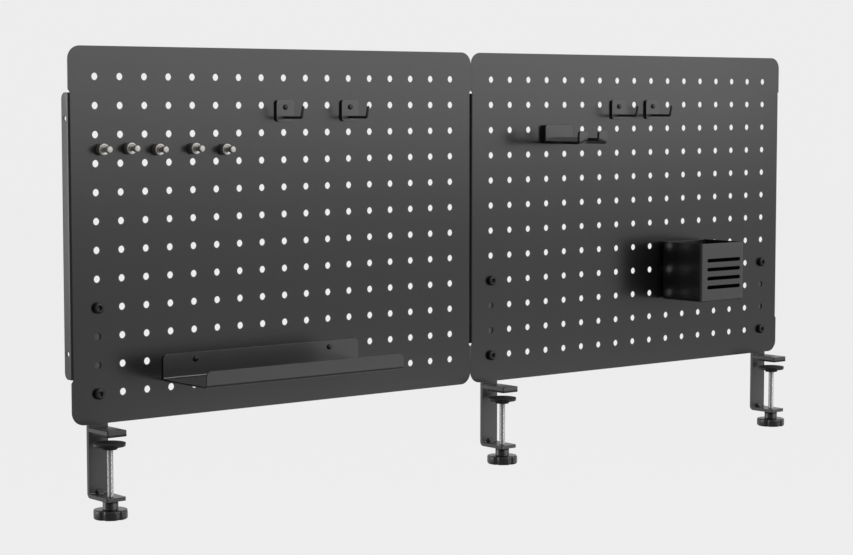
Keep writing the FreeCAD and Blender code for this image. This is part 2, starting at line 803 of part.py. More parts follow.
join_screws = []
join_nuts = []
join_spacers = []
gap_left = panel_first_columns[1] - panel_margin - panel_gap
for side in (-1, 1):
    height = panel_middle + side * join_hole_spread
    in_gap = FreeCAD.Vector(gap_left, panel_front + join_hole_back, height)
    screw_seat = in_gap - X * panel_sheet
    nut_start = in_gap + X * (panel_gap + panel_sheet)
    join_screws.append(socket_screw(join_d, join_length, join_head_d, join_head_height, join_head_edge_r,
                                    join_socket_af, join_socket_depth, screw_seat, X))
    join_nuts.append(nut(join_nut_af, join_d + 2 * thread_clearance, nut_start, X * join_nut_height))
    join_spacers.append(ring(join_spacer_d, join_hole_d, in_gap, X * panel_gap))
nodes["panel_join_screws"] = together(join_screws)
nodes["panel_join_nuts"] = together(join_nuts)
nodes["panel_join_spacers"] = together(join_spacers)

for index, hook_place in enumerate(hook_places):
    hook_hole = hole_at(*hook_place)
    nodes["hook%d" % (index + 1)] = hook(hook_hole)
    nodes["hook%d_peg" % (index + 1)] = peg(hook_hole, hook_thickness, 0, peg_head_d, 0)

headphone_holes = [hole_at(*place) for place in headphone_places]
nodes["headphone_hook"] = headphone_hook(headphone_holes)
stud_front = headphone_pan_depth - headphone_wall
nodes["headphone_hook_pegs"] = together([peg(h, stud_front, 0, 0, headphone_peg_d) for h in headphone_holes])

tray_holes = [hole_at(*place) for place in tray_places]
nodes["tray"] = tray(tray_holes)
nodes["tray_pegs"] = together([peg(h, tray_sheet, 0, peg_head_d, 0) for h in tray_holes])

cup_holes = [hole_at(*place) for place in cup_places]
cup_back_front = cup_standoff + cup_sheet
nodes["cup"] = cup(cup_holes)
cup_pegs = []
for hole in cup_holes:
    cup_pegs.append(peg(hole, cup_back_front, cup_standoff, peg_head_d, cup_collar_d))
nodes["cup_pegs"] = together(cup_pegs)
nodes["cup_bumpers"] = together([cup_bumper(h) for h in cup_holes])

for index, (offset, drop) in enumerate(zip(magnet_offsets, magnet_drops)):
    magnet_place = hole_at(0, 0, 0) + X * offset - Z * drop
    nodes["magnet%d" % (index + 1)] = magnet_shell(magnet_place)
    nodes["magnet%d_disc" % (index + 1)] = magnet_disc(magnet_place)

os.makedirs("parts", exist_ok=True)
for name, shape in nodes.items():
    if not shape.isValid():
        print("not valid:", name)
    shape.exportStep("parts/%s.step" % name)
    size = shape.BoundBox
    lengths = "%6.1f %6.1f %6.1f" % (size.XLength, size.YLength, size.ZLength)
    print("%-20s %2d  %s" % (name, len(shape.Solids), lengths))
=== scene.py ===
import math

import bmesh
import bpy
from mathutils import Matrix, Vector
from mathutils.geometry import delaunay_2d_cdt


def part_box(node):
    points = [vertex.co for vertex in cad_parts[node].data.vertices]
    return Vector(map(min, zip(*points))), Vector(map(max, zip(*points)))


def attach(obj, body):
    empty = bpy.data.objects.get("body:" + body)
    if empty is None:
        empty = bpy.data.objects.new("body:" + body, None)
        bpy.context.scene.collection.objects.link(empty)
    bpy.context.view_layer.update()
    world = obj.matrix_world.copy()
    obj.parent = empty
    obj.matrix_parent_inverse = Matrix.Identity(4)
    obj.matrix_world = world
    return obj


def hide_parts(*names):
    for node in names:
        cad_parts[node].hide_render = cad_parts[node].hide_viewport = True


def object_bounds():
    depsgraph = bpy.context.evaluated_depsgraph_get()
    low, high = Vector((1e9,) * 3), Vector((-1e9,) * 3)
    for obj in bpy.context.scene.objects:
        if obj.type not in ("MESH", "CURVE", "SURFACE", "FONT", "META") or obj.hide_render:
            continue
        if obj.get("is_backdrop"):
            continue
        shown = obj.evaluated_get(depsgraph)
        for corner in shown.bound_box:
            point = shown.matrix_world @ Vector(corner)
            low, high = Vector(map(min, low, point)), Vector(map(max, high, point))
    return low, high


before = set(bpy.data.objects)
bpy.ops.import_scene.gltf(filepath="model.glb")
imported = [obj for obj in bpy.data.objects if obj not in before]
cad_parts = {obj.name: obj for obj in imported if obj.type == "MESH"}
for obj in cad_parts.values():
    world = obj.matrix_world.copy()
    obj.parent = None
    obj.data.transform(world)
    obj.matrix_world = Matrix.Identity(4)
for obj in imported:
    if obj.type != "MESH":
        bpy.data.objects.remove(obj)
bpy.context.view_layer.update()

mm = 0.001

# ---------------------------------------------------------------------------------------------
# Camera and studio. A long lens looks at the panels from the user's left, a little above their
# middle. The studio is a pale sweep, far below the object. The near-black coats mirror a large
# softbox on the right, a darker room behind the camera and the pale backdrop beyond.

camera_place = Vector((-1451.5, -1636.8, 293.1)) * mm
camera_turn = math.radians(39.553)          # from +Y towards +X
camera_dip = math.radians(4.642)
lens = 91.79                                # mm, as the sensor's width
sensor_width = 36
floor_drop = 740 * mm                       # a desk's height
floor_size = 40.0
floor_share = 0.85                          # of the backdrop's light; the rest takes shadows
floor_glow = 1.088                          # evens the floor with the backdrop


def linear(colour):
    """An sRGB colour written #rrggbb as linear light, with an alpha of 1."""
    channels = [int(colour[start:start + 2], 16) / 255 for start in (1, 3, 5)]
    light = [c / 12.92 if c <= 0.04045 else ((c + 0.055) / 1.055) ** 2.4 for c in channels]
    return (*light, 1.0)


def add(tree, kind, inputs=None, **settings):
    """Adds a node to a tree, with its settings, and its inputs as values or as other nodes' outputs."""
    made = tree.nodes.new(kind)
    for name, value in settings.items():
        setattr(made, name, value)
    for key, value in (inputs or {}).items():
        if isinstance(value, bpy.types.NodeSocket):
            tree.links.new(value, made.inputs[key])
        else:
            made.inputs[key].default_value = value
    return made


def new_object(name, data):
    """Object made from data and linked to the scene."""
    made = bpy.data.objects.new(name, data)
    bpy.context.scene.collection.objects.link(made)
    return made


def cleared_nodes(owner):
    """Node tree of a material or a world, with nothing in it."""
    owner.use_nodes = True
    owner.node_tree.nodes.clear()
    return owner.node_tree


def greatest(tree, *values):
    """Greatest of several numbers or other nodes' outputs."""
    most = values[0]
    for value in values[1:]:
        most = add(tree, "ShaderNodeMath", {0: most, 1: value}, operation="MAXIMUM").outputs[0]
    return most


camera_data = bpy.data.cameras.new("camera")
camera_data.lens = lens
camera_data.sensor_width = sensor_width
camera_data.clip_end = 200
camera = new_object("camera", camera_data)
camera.location = camera_place
camera.rotation_euler = (math.pi / 2 - camera_dip, 0, -camera_turn)
bpy.context.scene.camera = camera
bpy.context.scene.view_settings.view_transform = "Standard"

backdrop_colour = linear("#ededed")
room_colour = linear("#9c9c9c")             # the dark room behind the camera, seen only in the gloss
room_span = (-0.9, -0.3)                    # how far ahead a ray points, from the room to the backdrop
floor_span = (-0.55, -0.2)                  # how far up it points, from the room's floor to the backdrop
sky_colours = [linear("#5a5a5a"), linear("#f4f4f4")]
sky_span = (-0.25, 0.55)                    # how far up it points, from the first colour to the second
sky_strength = 0.8
forward = (math.sin(camera_turn), math.cos(camera_turn), 0)
sky = bpy.data.worlds.new("studio")
bpy.context.scene.world = sky
tree = cleared_nodes(sky)
ray = add(tree, "ShaderNodeLightPath").outputs
direction = add(tree, "ShaderNodeTexCoord").outputs["Generated"]
height = add(tree, "ShaderNodeSeparateXYZ", {"Vector": direction}).outputs["Z"]
rise = add(tree, "ShaderNodeMapRange", {"Value": height, "From Min": sky_span[0], "From Max": sky_span[1]})
shade = add(tree, "ShaderNodeValToRGB", {"Fac": rise.outputs["Result"]})
shade.color_ramp.elements[0].color = sky_colours[0]
shade.color_ramp.elements[1].color = sky_colours[1]
lit = add(tree, "ShaderNodeBackground", {"Color": shade.outputs["Color"], "Strength": sky_strength})
ahead = add(tree, "ShaderNodeVectorMath", {0: direction, 1: forward}, operation="DOT_PRODUCT")
beyond = add(tree, "ShaderNodeMapRange", {
    "Value": ahead.outputs["Value"], "From Min": room_span[0], "From Max": room_span[1]})
above = add(tree, "ShaderNodeMapRange", {
    "Value": height, "From Min": floor_span[0], "From Max": floor_span[1]})
pale = add(tree, "ShaderNodeMath", {0: beyond.outputs[0], 1: above.outputs[0]}, operation="MULTIPLY")
pale = greatest(tree, pale.outputs[0], ray["Is Camera Ray"], ray["Is Transmission Ray"])
surroundings = add(tree, "ShaderNodeValToRGB", {"Fac": pale})
surroundings.color_ramp.elements[0].color = room_colour
surroundings.color_ramp.elements[1].color = backdrop_colour
seen = add(tree, "ShaderNodeBackground", {"Color": surroundings.outputs["Color"], "Strength": 1.0})
shown = greatest(tree, ray["Is Camera Ray"], ray["Is Glossy Ray"], ray["Is Transmission Ray"])
mix = add(tree, "ShaderNodeMixShader", {"Fac": shown, 1: lit.outputs[0], 2: seen.outputs[0]})
add(tree, "ShaderNodeOutputWorld", {"Surface": mix.outputs[0]})

sweep_mesh = bpy.data.meshes.new("sweep")
half = floor_size / 2
floor_outline = [(-half, -half), (half, -half), (half, half), (-half, half)]
sweep_mesh.from_pydata([(x, y, -floor_drop) for x, y in floor_outline], [], [(0, 1, 2, 3)])
sweep = new_object("sweep", sweep_mesh)
sweep_paint = bpy.data.materials.new("sweep paint")
tree = cleared_nodes(sweep_paint)
paper = add(tree, "ShaderNodeBsdfDiffuse", {"Color": linear("#c8c8c8")})
glow = add(tree, "ShaderNodeEmission", {"Color": backdrop_colour, "Strength": floor_glow})
ray = add(tree, "ShaderNodeLightPath").outputs
shown = greatest(tree, ray["Is Camera Ray"], ray["Is Glossy Ray"], ray["Is Transmission Ray"])
share = add(tree, "ShaderNodeMath", {0: shown, 1: floor_share}, operation="MULTIPLY")
mix = add(tree, "ShaderNodeMixShader", {"Fac": share.outputs[0], 1: paper.outputs[0], 2: glow.outputs[0]})
add(tree, "ShaderNodeOutputMaterial", {"Surface": mix.outputs[0]})
sweep_mesh.materials.append(sweep_paint)
sweep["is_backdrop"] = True
sweep.visible_glossy = False                # the sky stands for the floor in the gloss


def softbox(name, place, width, height, brightness):
    """Area lamp that faces the object's middle; a brightness of 1 shows as white in a mirror."""
    lamp = bpy.data.lights.new(name, "AREA")
    lamp.shape = "RECTANGLE"
    lamp.size = width
    lamp.size_y = height
    lamp.energy = brightness * math.pi * width * height
    holder = new_object(name, lamp)
    holder.location = place
    holder.visible_camera = False
    holder.rotation_euler = (object_middle - Vector(place)).to_track_quat("-Z", "Y").to_euler()


object_middle = Vector((0, 0, 0.15))
softbox("softbox right", (1.25, -2.3, 1.15), 3.0, 2.1, 1.9)
softbox("softbox low right", (1.3, -1.5, -0.55), 1.4, 0.5, 1.2)
softbox("small softbox high right", (1.3, -2.1, 2.2), 0.45, 0.45, 18.0)
softbox("softbox behind left", (-2.6, 2.0, 0.6), 1.6, 1.6, 3.2)

# ---------------------------------------------------------------------------------------------
# Panels. Two laser-cut blanks of 1.2 mm steel with a 1-inch grid of holes, their sides bent back
# into flanges between relief notches, then powder coated black with a faint orange peel.

pitch = 25.4 * mm
columns = 17
rows = 12
hole_r = 3.25 * mm
panel_sheet = 1.2 * mm
panel_margin = 26.7 * mm
panel_corner_r = 12 * mm
flange_length = 251.5 * mm
flange_corner_r = 6 * mm
bend_r = 2.2 * mm                   # outside
relief_height = 2.9 * mm
join_hole_r = 2.25 * mm
join_hole_back = 6.2 * mm
join_hole_spread = 103.1 * mm
cut_edge = 0.22 * mm                # how far powder coat rounds a cut edge
panel_low, panel_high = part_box("right_panel")
left_panel_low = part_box("left_panel")[0]
panel_front = panel_low.y
panel_back = panel_front + panel_sheet
first_row = panel_high.z - panel_margin
first_columns = [left_panel_low.x + panel_margin, panel_low.x + panel_margin]


def hole_at(panel, column, row):
    """Centre of a panel's hole on the front face; columns count from the left, rows from the top."""
    return Vector((first_columns[panel] + column * pitch, panel_front, first_row - row * pitch))


def round_off(corners, steps=6, closed=True):
    """Points of a path through (a, b, radius) corners, with each radius drawn as a short arc."""
    points = []
    for number, (a, b, radius) in enumerate(corners):
        corner = Vector((a, b))
        at_end = not closed and number in (0, len(corners) - 1)
        if radius == 0 or at_end:
            points.append(corner)
            continue
        to_before = (Vector(corners[number - 1][:2]) - corner).normalized()
        to_after = (Vector(corners[(number + 1) % len(corners)][:2]) - corner).normalized()
        half_angle = to_before.angle(to_after) / 2
        centre = corner + (to_before + to_after).normalized() * radius / math.sin(half_angle)
        start = (corner + to_before * radius / math.tan(half_angle) - centre).normalized()
        end = (corner + to_after * radius / math.tan(half_angle) - centre).normalized()
        for step in range(steps + 1):
            points.append(centre + start.slerp(end, step / steps) * radius)
    return points


def loop_mesh(points):
    """Closed loop of edges through (a, b) points in the XY plane."""
    mesh = bpy.data.meshes.new("loop")
    ends = [(number, (number + 1) % len(points)) for number in range(len(points))]
    mesh.from_pydata([(p[0], p[1], 0) for p in points], ends, [])
    return mesh


def grown(tree, seed, values):
    """Plain mesh that a node tree grows from a seed mesh, with the tree's inputs set by name."""
    carrier = new_object("carrier", seed)
    modifier = carrier.modifiers.new("grow", "NODES")
    modifier.node_group = tree
    sockets = {}
    for item in tree.interface.items_tree:
        if item.in_out == "INPUT":
            sockets[item.name] = item.identifier
    for name, value in values.items():
        modifier[sockets[name]] = value
    graph = bpy.context.evaluated_depsgraph_get()
    mesh = bpy.data.meshes.new_from_object(carrier.evaluated_get(graph))
    bpy.data.objects.remove(carrier)
    return mesh


def new_tree(name, inputs):
    """Geometry node tree with a seed geometry, the named inputs and one geometry output."""
    tree = bpy.data.node_groups.new(name, "GeometryNodeTree")
    tree.interface.new_socket("Seed geometry", in_out="INPUT", socket_type="NodeSocketGeometry")
    for label, kind in inputs:
        tree.interface.new_socket(label, in_out="INPUT", socket_type="NodeSocket" + kind)
    tree.interface.new_socket("Geometry", in_out="OUTPUT", socket_type="NodeSocketGeometry")
    return tree, add(tree, "NodeGroupInput").outputs


def perforating_tree():
    """Fills an outline in the XY plane, less a grid of round holes from a first hole up and across."""
    tree, given = new_tree("perforated blank", [
        ("Columns", "Int"), ("Rows", "Int"), ("Across", "Vector"), ("Up", "Vector"),
        ("First hole", "Vector"), ("Hole radius", "Float"), ("Finish", "Material")])
    outline = add(tree, "GeometryNodeMeshToCurve", {"Mesh": given["Seed geometry"]})
    across = add(tree, "GeometryNodeMeshLine", {
        "Count": given["Columns"], "Start Location": given["First hole"], "Offset": given["Across"]})
    up = add(tree, "GeometryNodeMeshLine", {"Count": given["Rows"], "Offset": given["Up"]})
    ring = add(tree, "GeometryNodeCurvePrimitiveCircle", {"Resolution": 32, "Radius": given["Hole radius"]})
    one_column = add(tree, "GeometryNodeInstanceOnPoints", {
        "Points": up.outputs[0], "Instance": ring.outputs[0]})
    all_holes = add(tree, "GeometryNodeInstanceOnPoints", {
        "Points": across.outputs[0], "Instance": one_column.outputs[0]})
    holes = add(tree, "GeometryNodeRealizeInstances", {"Geometry": all_holes.outputs[0]})
    loops = add(tree, "GeometryNodeJoinGeometry")
    tree.links.new(outline.outputs[0], loops.inputs[0])
    tree.links.new(holes.outputs[0], loops.inputs[0])
    sheet = add(tree, "GeometryNodeFillCurve", {"Curve": loops.outputs[0]})
    painted = add(tree, "GeometryNodeSetMaterial", {
        "Geometry": sheet.outputs[0], "Material": given["Finish"]})
    add(tree, "NodeGroupOutput", {0: painted.outputs[0]})
    return tree


def piece(name, mesh, finish, body, slot, *nodes):
    """Makes a mesh a piece of the object, with its finish, its body and the solids it stands for."""
    made = new_object(name, mesh)
    mesh.materials.clear()
    mesh.materials.append(finish)
    mesh.shade_smooth()
    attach(made, body)
    if nodes:
        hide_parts(*nodes)
    return made


def thicken(made, thickness, edge_r):
    """Gives a skin its sheet thickness behind its faces, and rounds the cut edges."""
    wall = made.modifiers.new("sheet", "SOLIDIFY")
    wall.thickness = thickness
    wall.offset = -1
    wall.use_even_offset = True
    ease(made, edge_r)


def ease(made, edge_r, segments=2):
    """Rounds every sharp edge a little and keeps the flats flat."""
    rounding = made.modifiers.new("edges", "BEVEL")
    rounding.width = edge_r
    rounding.segments = segments
    rounding.limit_method = "ANGLE"
    rounding.angle_limit = math.radians(38)
    normals = made.modifiers.new("normals", "WEIGHTED_NORMAL")
    normals.keep_sharp = False


def surface(name, colours, grain, depth, roughness, detail=3.0, cells=False, cloud=0, **skin):
    """Material with a fine grain, which dents it and varies its gloss between two roughnesses.

    Its tint runs between two colours with the grain, or with a wider cloud where that has a size.
    The grain is a noise or, on request, cells; the other settings are the skin's own."""
    made = bpy.data.materials.new(name)
    tree = cleared_nodes(made)
    place = add(tree, "ShaderNodeTexCoord").outputs["Object"]
    if cells:
        fine = add(tree, "ShaderNodeTexVoronoi", {"Vector": place, "Scale": 1 / grain}).outputs["Distance"]
    else:
        noise = {"Vector": place, "Scale": 1 / grain, "Detail": detail}
        fine = add(tree, "ShaderNodeTexNoise", noise).outputs[0]
    tint = add(tree, "ShaderNodeValToRGB", {"Fac": fine})
    for element, colour in zip(tint.color_ramp.elements, colours):
        element.color = linear(colour)
    if cloud:
        wide = add(tree, "ShaderNodeTexNoise", {"Vector": place, "Scale": 1 / cloud, "Detail": 2.0})
        tree.links.new(wide.outputs[0], tint.inputs["Fac"])
        tint.color_ramp.elements[0].position = 0.3
        tint.color_ramp.elements[1].position = 0.7
    gloss = add(tree, "ShaderNodeMapRange", {"Value": fine, "To Min": roughness[0], "To Max": roughness[1]})
    bump = add(tree, "ShaderNodeBump", {"Height": fine, "Distance": depth, "Strength": 1.0})
    principled = add(tree, "ShaderNodeBsdfPrincipled", {
        "Base Color": tint.outputs[0], "Roughness": gloss.outputs[0], "Normal": bump.outputs[0], **skin})
    add(tree, "ShaderNodeOutputMaterial", {"Surface": principled.outputs[0]})
    return made


def as_mesh(shape, name):
    """Plain mesh of a shape, which is then let go."""
    mesh = bpy.data.meshes.new(name)
    shape.to_mesh(mesh)
    shape.free()
    return mesh


# Powder coat baked on steel: a near-black plastic skin whose fine orange peel blurs its gloss.
cloud_size = 60 * mm
panel_coat = surface("powder-coated panel", ["#0d0d0d", "#101010"], 0.9 * mm, 0.010 * mm, (0.18, 0.28),
                     cloud=cloud_size, IOR=1.5)
blank_tree = perforating_tree()


def flat_blank(corners, counts, across, up, first, radius):
    """Skin of a flat blank in the XY plane, with a grid of holes."""
    values = {"Columns": counts[0], "Rows": counts[1], "Across": across, "Up": up,
              "First hole": first, "Hole radius": radius, "Finish": panel_coat}
    return grown(blank_tree, loop_mesh(round_off(corners, steps=10)), values)


def panel_mesh(left):
    """Outer skin of one panel: the perforated face, and a bend and a flange on each side."""
    width = (columns - 1) * pitch + 2 * panel_margin
    half_height = (panel_high.z - panel_low.z) / 2
    half_flange = flange_length / 2
    middle_z = panel_low.z + half_height
    notch = half_flange + relief_height
    inside = width - bend_r
    face_corners = [
        (0, -half_height, panel_corner_r), (width, -half_height, panel_corner_r),
        (width, -notch, 0), (inside, -half_flange, 0), (inside, half_flange, 0), (width, notch, 0),
        (width, half_height, panel_corner_r), (0, half_height, panel_corner_r),
        (0, notch, 0), (bend_r, half_flange, 0), (bend_r, -half_flange, 0), (0, -notch, 0)]
    first = (panel_margin, (rows - 1) * pitch / 2, 0)
    face = flat_blank(face_corners, (columns, rows), (pitch, 0, 0), (0, -pitch, 0), first, hole_r)
    shape = bmesh.new()
    stand = Matrix.Rotation(math.pi / 2, 4, "X")
    face.transform(Matrix.Translation((left, panel_front, middle_z)) @ stand)
    shape.from_mesh(face)

    depth = panel_high.y - panel_front
    flange_corners = [
        (bend_r, -half_flange, 0), (depth, -half_flange, flange_corner_r),
        (depth, half_flange, flange_corner_r), (bend_r, half_flange, 0)]
    first = (join_hole_back, -join_hole_spread, 0)
    for edge, inward in ((left, 1), (left + width, -1)):
        apart = (0, 2 * join_hole_spread, 0)
        flange = flat_blank(flange_corners, (1, 2), (0, 0, 0), apart, first, join_hole_r)
        turn = Matrix.Rotation(math.pi / 2, 4, "Z") @ stand
        flange.transform(Matrix.Translation((edge, panel_front, middle_z)) @ turn)
        shape.from_mesh(flange)
        bend_steps = 6
        ends = []
        for step in range(bend_steps + 1):
            angle = math.pi / 2 * step / bend_steps
            x = edge + inward * bend_r * (1 - math.sin(angle))
            y = panel_front + bend_r * (1 - math.cos(angle))
            low = shape.verts.new((x, y, middle_z - half_flange))
            high = shape.verts.new((x, y, middle_z + half_flange))
            ends.append((low, high))
        for (low, high), (next_low, next_high) in zip(ends, ends[1:]):
            shape.faces.new((low, next_low, next_high, high))
    bmesh.ops.remove_doubles(shape, verts=shape.verts, dist=0.001 * mm)
    bmesh.ops.recalc_face_normals(shape, faces=shape.faces)
    shape.faces.ensure_lookup_table()
    front_faces = [f for f in shape.faces if abs(f.normal.y) > 0.99]
    if sum(f.normal.y * f.calc_area() for f in front_faces) > 0:
        bmesh.ops.reverse_faces(shape, faces=shape.faces)
    return as_mesh(shape, "panel")


for node, left in (("left_panel", left_panel_low.x), ("right_panel", panel_low.x)):
    made = piece(node + "_sheet", panel_mesh(left), panel_coat, "frame", "panel_steel", node)
    thicken(made, panel_sheet, cut_edge)

# ---------------------------------------------------------------------------------------------
# Clamp brackets. A 20 x 3.4 mm steel bar stands behind the panel and is bent forward into the lower
# jaw, with a dart pressed into the bend. The upper jaw is a second plate, fillet-welded across it.

bar_width = 20 * mm
bracket_low, bracket_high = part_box("clamp2_bracket")
bar_sheet = bracket_high.y - panel_back
bar_bend_r = 1 * mm                 # inside
jaw_tip_r = 1.5 * mm
upper_jaw_tip = panel_front - bracket_low.y
lower_jaw_tip = 28.4 * mm           # in front of the panel
lower_jaw_drop = -bracket_low.z - bar_sheet
pad_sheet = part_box("clamp2_upper_pad")[1].z
dart_width = 5 * mm
dart_leg = 4.5 * mm
weld_leg = 1.1 * mm
bolt_rows = [8, 11]
clamp_holes = [(0, 0), (1, 0), (1, 16)]     # panel and column
bar_edge = 0.35 * mm
dart_round = 1.2 * mm
tapped_r = 3.05 * mm                # the lower jaw's hole for the clamp screw
# The brackets' coat is a shade paler than the panels', and its peel coarser.
bracket_coat = surface("powder-coated bracket", ["#2c2c2c", "#313131"], 1.1 * mm, 0.014 * mm, (0.27, 0.37),
                       cloud=cloud_size, IOR=1.5)


to_front = Vector((0, -1, 0))
to_back = Vector((0, 1, 0))
upwards = Vector((0, 0, 1))


class Path:
    """Bent line through corners in a plane, with its points found by their distance along it."""

    def __init__(self, corners, steps=6):
        self.points = round_off(corners, steps, closed=False)
        self.marks = [0.0]
        for here, there in zip(self.points, self.points[1:]):
            self.marks.append(self.marks[-1] + (there - here).length)
        self.length = self.marks[-1]

    def at(self, along):
        """Point at a distance along the line, which goes on straight beyond its ends."""
        for number in range(1, len(self.marks)):
            if along <= self.marks[number] or number == len(self.marks) - 1:
                span = self.marks[number] - self.marks[number - 1]
                share = (along - self.marks[number - 1]) / span
                return self.points[number - 1].lerp(self.points[number], share)


def inside(point, loops):
    """True where a point lies in an odd number of loops."""
    crossings = 0
    for loop in loops:
        for (ax, ay), (bx, by) in zip(loop, loop[1:] + loop[:1]):
            if (ay > point[1]) != (by > point[1]):
                if point[0] < ax + (point[1] - ay) * (bx - ax) / (by - ay):
                    crossings += 1
    return crossings % 2 == 1


def folded(outline, holes, path, to_space, outward, creases=()):
    """Skin of a blank of (across, along) points, creased along a path and put into space.

    to_space maps (across, point of the path) to a place; outward is a direction that the middle of
    the skin's first straight run must face; creases are further creases at places across it."""
    loops = [[tuple(point) for point in loop] for loop in [outline] + holes]
    points = []
    edges = []
    for loop in loops:
        first = len(points)
        points += [Vector(point) for point in loop]
        edges += [(first + n, first + (n + 1) % len(loop)) for n in range(len(loop))]
    across_low = min(point[0] for point in loops[0]) - mm
    across_high = max(point[0] for point in loops[0]) + mm
    for mark in path.marks[1:-1]:
        edges.append((len(points), len(points) + 1))
        points += [Vector((across_low, mark)), Vector((across_high, mark))]
    for crease in creases:
        edges.append((len(points), len(points) + 1))
        points += [Vector((crease, -mm)), Vector((crease, path.length + mm))]
    flat, _, faces, *_ = delaunay_2d_cdt(points, edges, [], 0, 0.0001 * mm)
    shape = bmesh.new()
    made = [shape.verts.new(to_space(point.x, path.at(point.y))) for point in flat]
    for face in faces:
        centre = sum((flat[n] for n in face), Vector((0, 0))) / len(face)
        if inside(centre, loops):
            shape.faces.new([made[n] for n in face])
    bmesh.ops.delete(shape, geom=[v for v in shape.verts if not v.link_faces], context="VERTS")
    bmesh.ops.remove_doubles(shape, verts=shape.verts, dist=0.001 * mm)
    bmesh.ops.recalc_face_normals(shape, faces=shape.faces)
    level_faces = [face for face in shape.faces if face.normal.dot(outward) ** 2 > 0.9]
    facing = sum((face.normal * face.calc_area() for face in level_faces), Vector())
    if facing.dot(outward) < 0:
        bmesh.ops.reverse_faces(shape, faces=shape.faces)
    return as_mesh(shape, "folded sheet")


def bent_strip(x, width, path, first_r, last_r, outward, holes=()):
    """Skin of a strip bent along a (back, up) path and centred on x, with its corners rounded."""
    side = width / 2
    outline = round_off([(-side, 0, first_r), (side, 0, first_r),
                         (side, path.length, last_r), (-side, path.length, last_r)])
    return folded(outline, list(holes), path, lambda across, point: (x + across, *point), outward)


def circle(centre, radius, steps=32):
    """Points of a round hole in a blank."""
    points = []
    for step in range(steps):
        turn = math.tau * step / steps
        points.append((centre[0] + radius * math.cos(turn), centre[1] + radius * math.sin(turn)))
    return points


def bar_skin(x):
    """Front and inner face of a clamp's bar and lower jaw, from the bar's top to the jaw's tip."""
    top = bracket_high.z
    path = Path([(panel_back, top, 0), (panel_back, -lower_jaw_drop, bar_bend_r),
                 (panel_front - lower_jaw_tip, -lower_jaw_drop, 0)])
    holes = []
    for row in bolt_rows:
        holes.append(circle((0, top - hole_at(0, 0, row).z), hole_r))
    holes.append(circle((0, path.length - (lower_jaw_tip - panel_front)), tapped_r))
    return bent_strip(x, bar_width, path, 0, jaw_tip_r, to_front, holes)


def jaw_skin(x):
    """Top face of the upper jaw."""
    height_z = pad_sheet + bar_sheet
    path = Path([(panel_back, height_z, 0), (panel_front - upper_jaw_tip, height_z, 0)])
    return bent_strip(x, bar_width, path, 0, jaw_tip_r, upwards)


def lofted(rings, filled=(), joined=False):
    """Shape stitched between rings of places, where a ring of one place is a pole.

    filled names the rings to close with a face; joined stitches the last ring to the first."""
    shape = bmesh.new()
    made = [[shape.verts.new(place) for place in ring] for ring in rings]
    sides = max(len(ring) for ring in rings)
    afters = made[1:] + [made[0]] if joined else made[1:]
    for ring, after in zip(made, afters):
        for side in range(sides):
            beside = (side + 1) % sides
            corners = [ring[side % len(ring)], ring[beside % len(ring)],
                       after[beside % len(after)], after[side % len(after)]]
            corners = [c for n, c in enumerate(corners) if c not in corners[:n]]
            if len(corners) > 2:
                shape.faces.new(corners)
    for number in filled:
        shape.faces.new(made[number])
    bmesh.ops.recalc_face_normals(shape, faces=shape.faces)
    return shape


def prism(corners, x, width):
    """Straight bar with a (back, up) section, centred on x."""
    ends = [[(x + off, back, up) for back, up in corners] for off in (-width / 2, width / 2)]
    return as_mesh(lofted(ends, filled=(0, -1)), "prism")


def weld_bead(x, back, up, width, leg, ripple=1.4 * mm):
    """Fillet weld along X in the corner between a wall behind and a plate below, with its ripples."""
    root = 0.3 * mm                 # sunk into the corner
    swelling = 0.10                 # of the leg, in a ripple
    hollow = 0.22                   # of the leg, in the middle of the fillet
    run_in = 0.35                   # of the leg, at the bead's ends
    steps = 7
    count = int(width / (ripple / 4))
    rings = []
    for number in range(count + 1):
        along = -width / 2 + width * number / count
        swell = 1 + swelling * math.cos(math.tau * along / ripple)
        end = min(1.0, (width / 2 - abs(along)) / leg + run_in)
        ring = [(x + along, back + root, up - root)]
        for step in range(steps):
            turn = math.pi / 2 * step / (steps - 1)
            reach = leg * swell * end * (1 - hollow * math.sin(2 * turn))
            ring.append((x + along, back - reach * math.cos(turn), up + reach * math.sin(turn)))
        rings.append(ring)
    return as_mesh(lofted(rings, filled=(0, -1)), "weld bead")


clamp_places = [hole_at(panel, column, 0).x for panel, column in clamp_holes]
for number, x in enumerate(clamp_places, 1):
    node = "clamp%d_bracket" % number
    made = piece(node + "_bar", bar_skin(x), bracket_coat, "frame", "bracket_steel", node)
    thicken(made, bar_sheet, bar_edge)
    made = piece(node + "_upper_jaw", jaw_skin(x), bracket_coat, "frame", "bracket_steel", node)
    thicken(made, bar_sheet, bar_edge)
    dart = [(panel_back + mm, -lower_jaw_drop - mm), (panel_back - dart_leg, -lower_jaw_drop - mm),
            (panel_back - dart_leg, -lower_jaw_drop), (panel_back, -lower_jaw_drop + dart_leg),
            (panel_back + mm, -lower_jaw_drop + dart_leg)]
    made = piece(node + "_dart", prism(dart, x, dart_width), bracket_coat, "frame", "bracket_steel", node)
    ease(made, dart_round, 4)
    bead = weld_bead(x, panel_back, pad_sheet + bar_sheet, bar_width - 2 * mm, weld_leg)
    piece(node + "_weld", bead, bracket_coat, "frame", "bracket_steel", node)

# ---------------------------------------------------------------------------------------------
# Upper jaw pads. Black rubber sheet 2 mm thick, die-cut to the jaw's rounded tip and glued under
# each upper jaw, where it keeps the steel off the desk's top.

pad_length = 24 * mm
pad_edge = 0.15 * mm
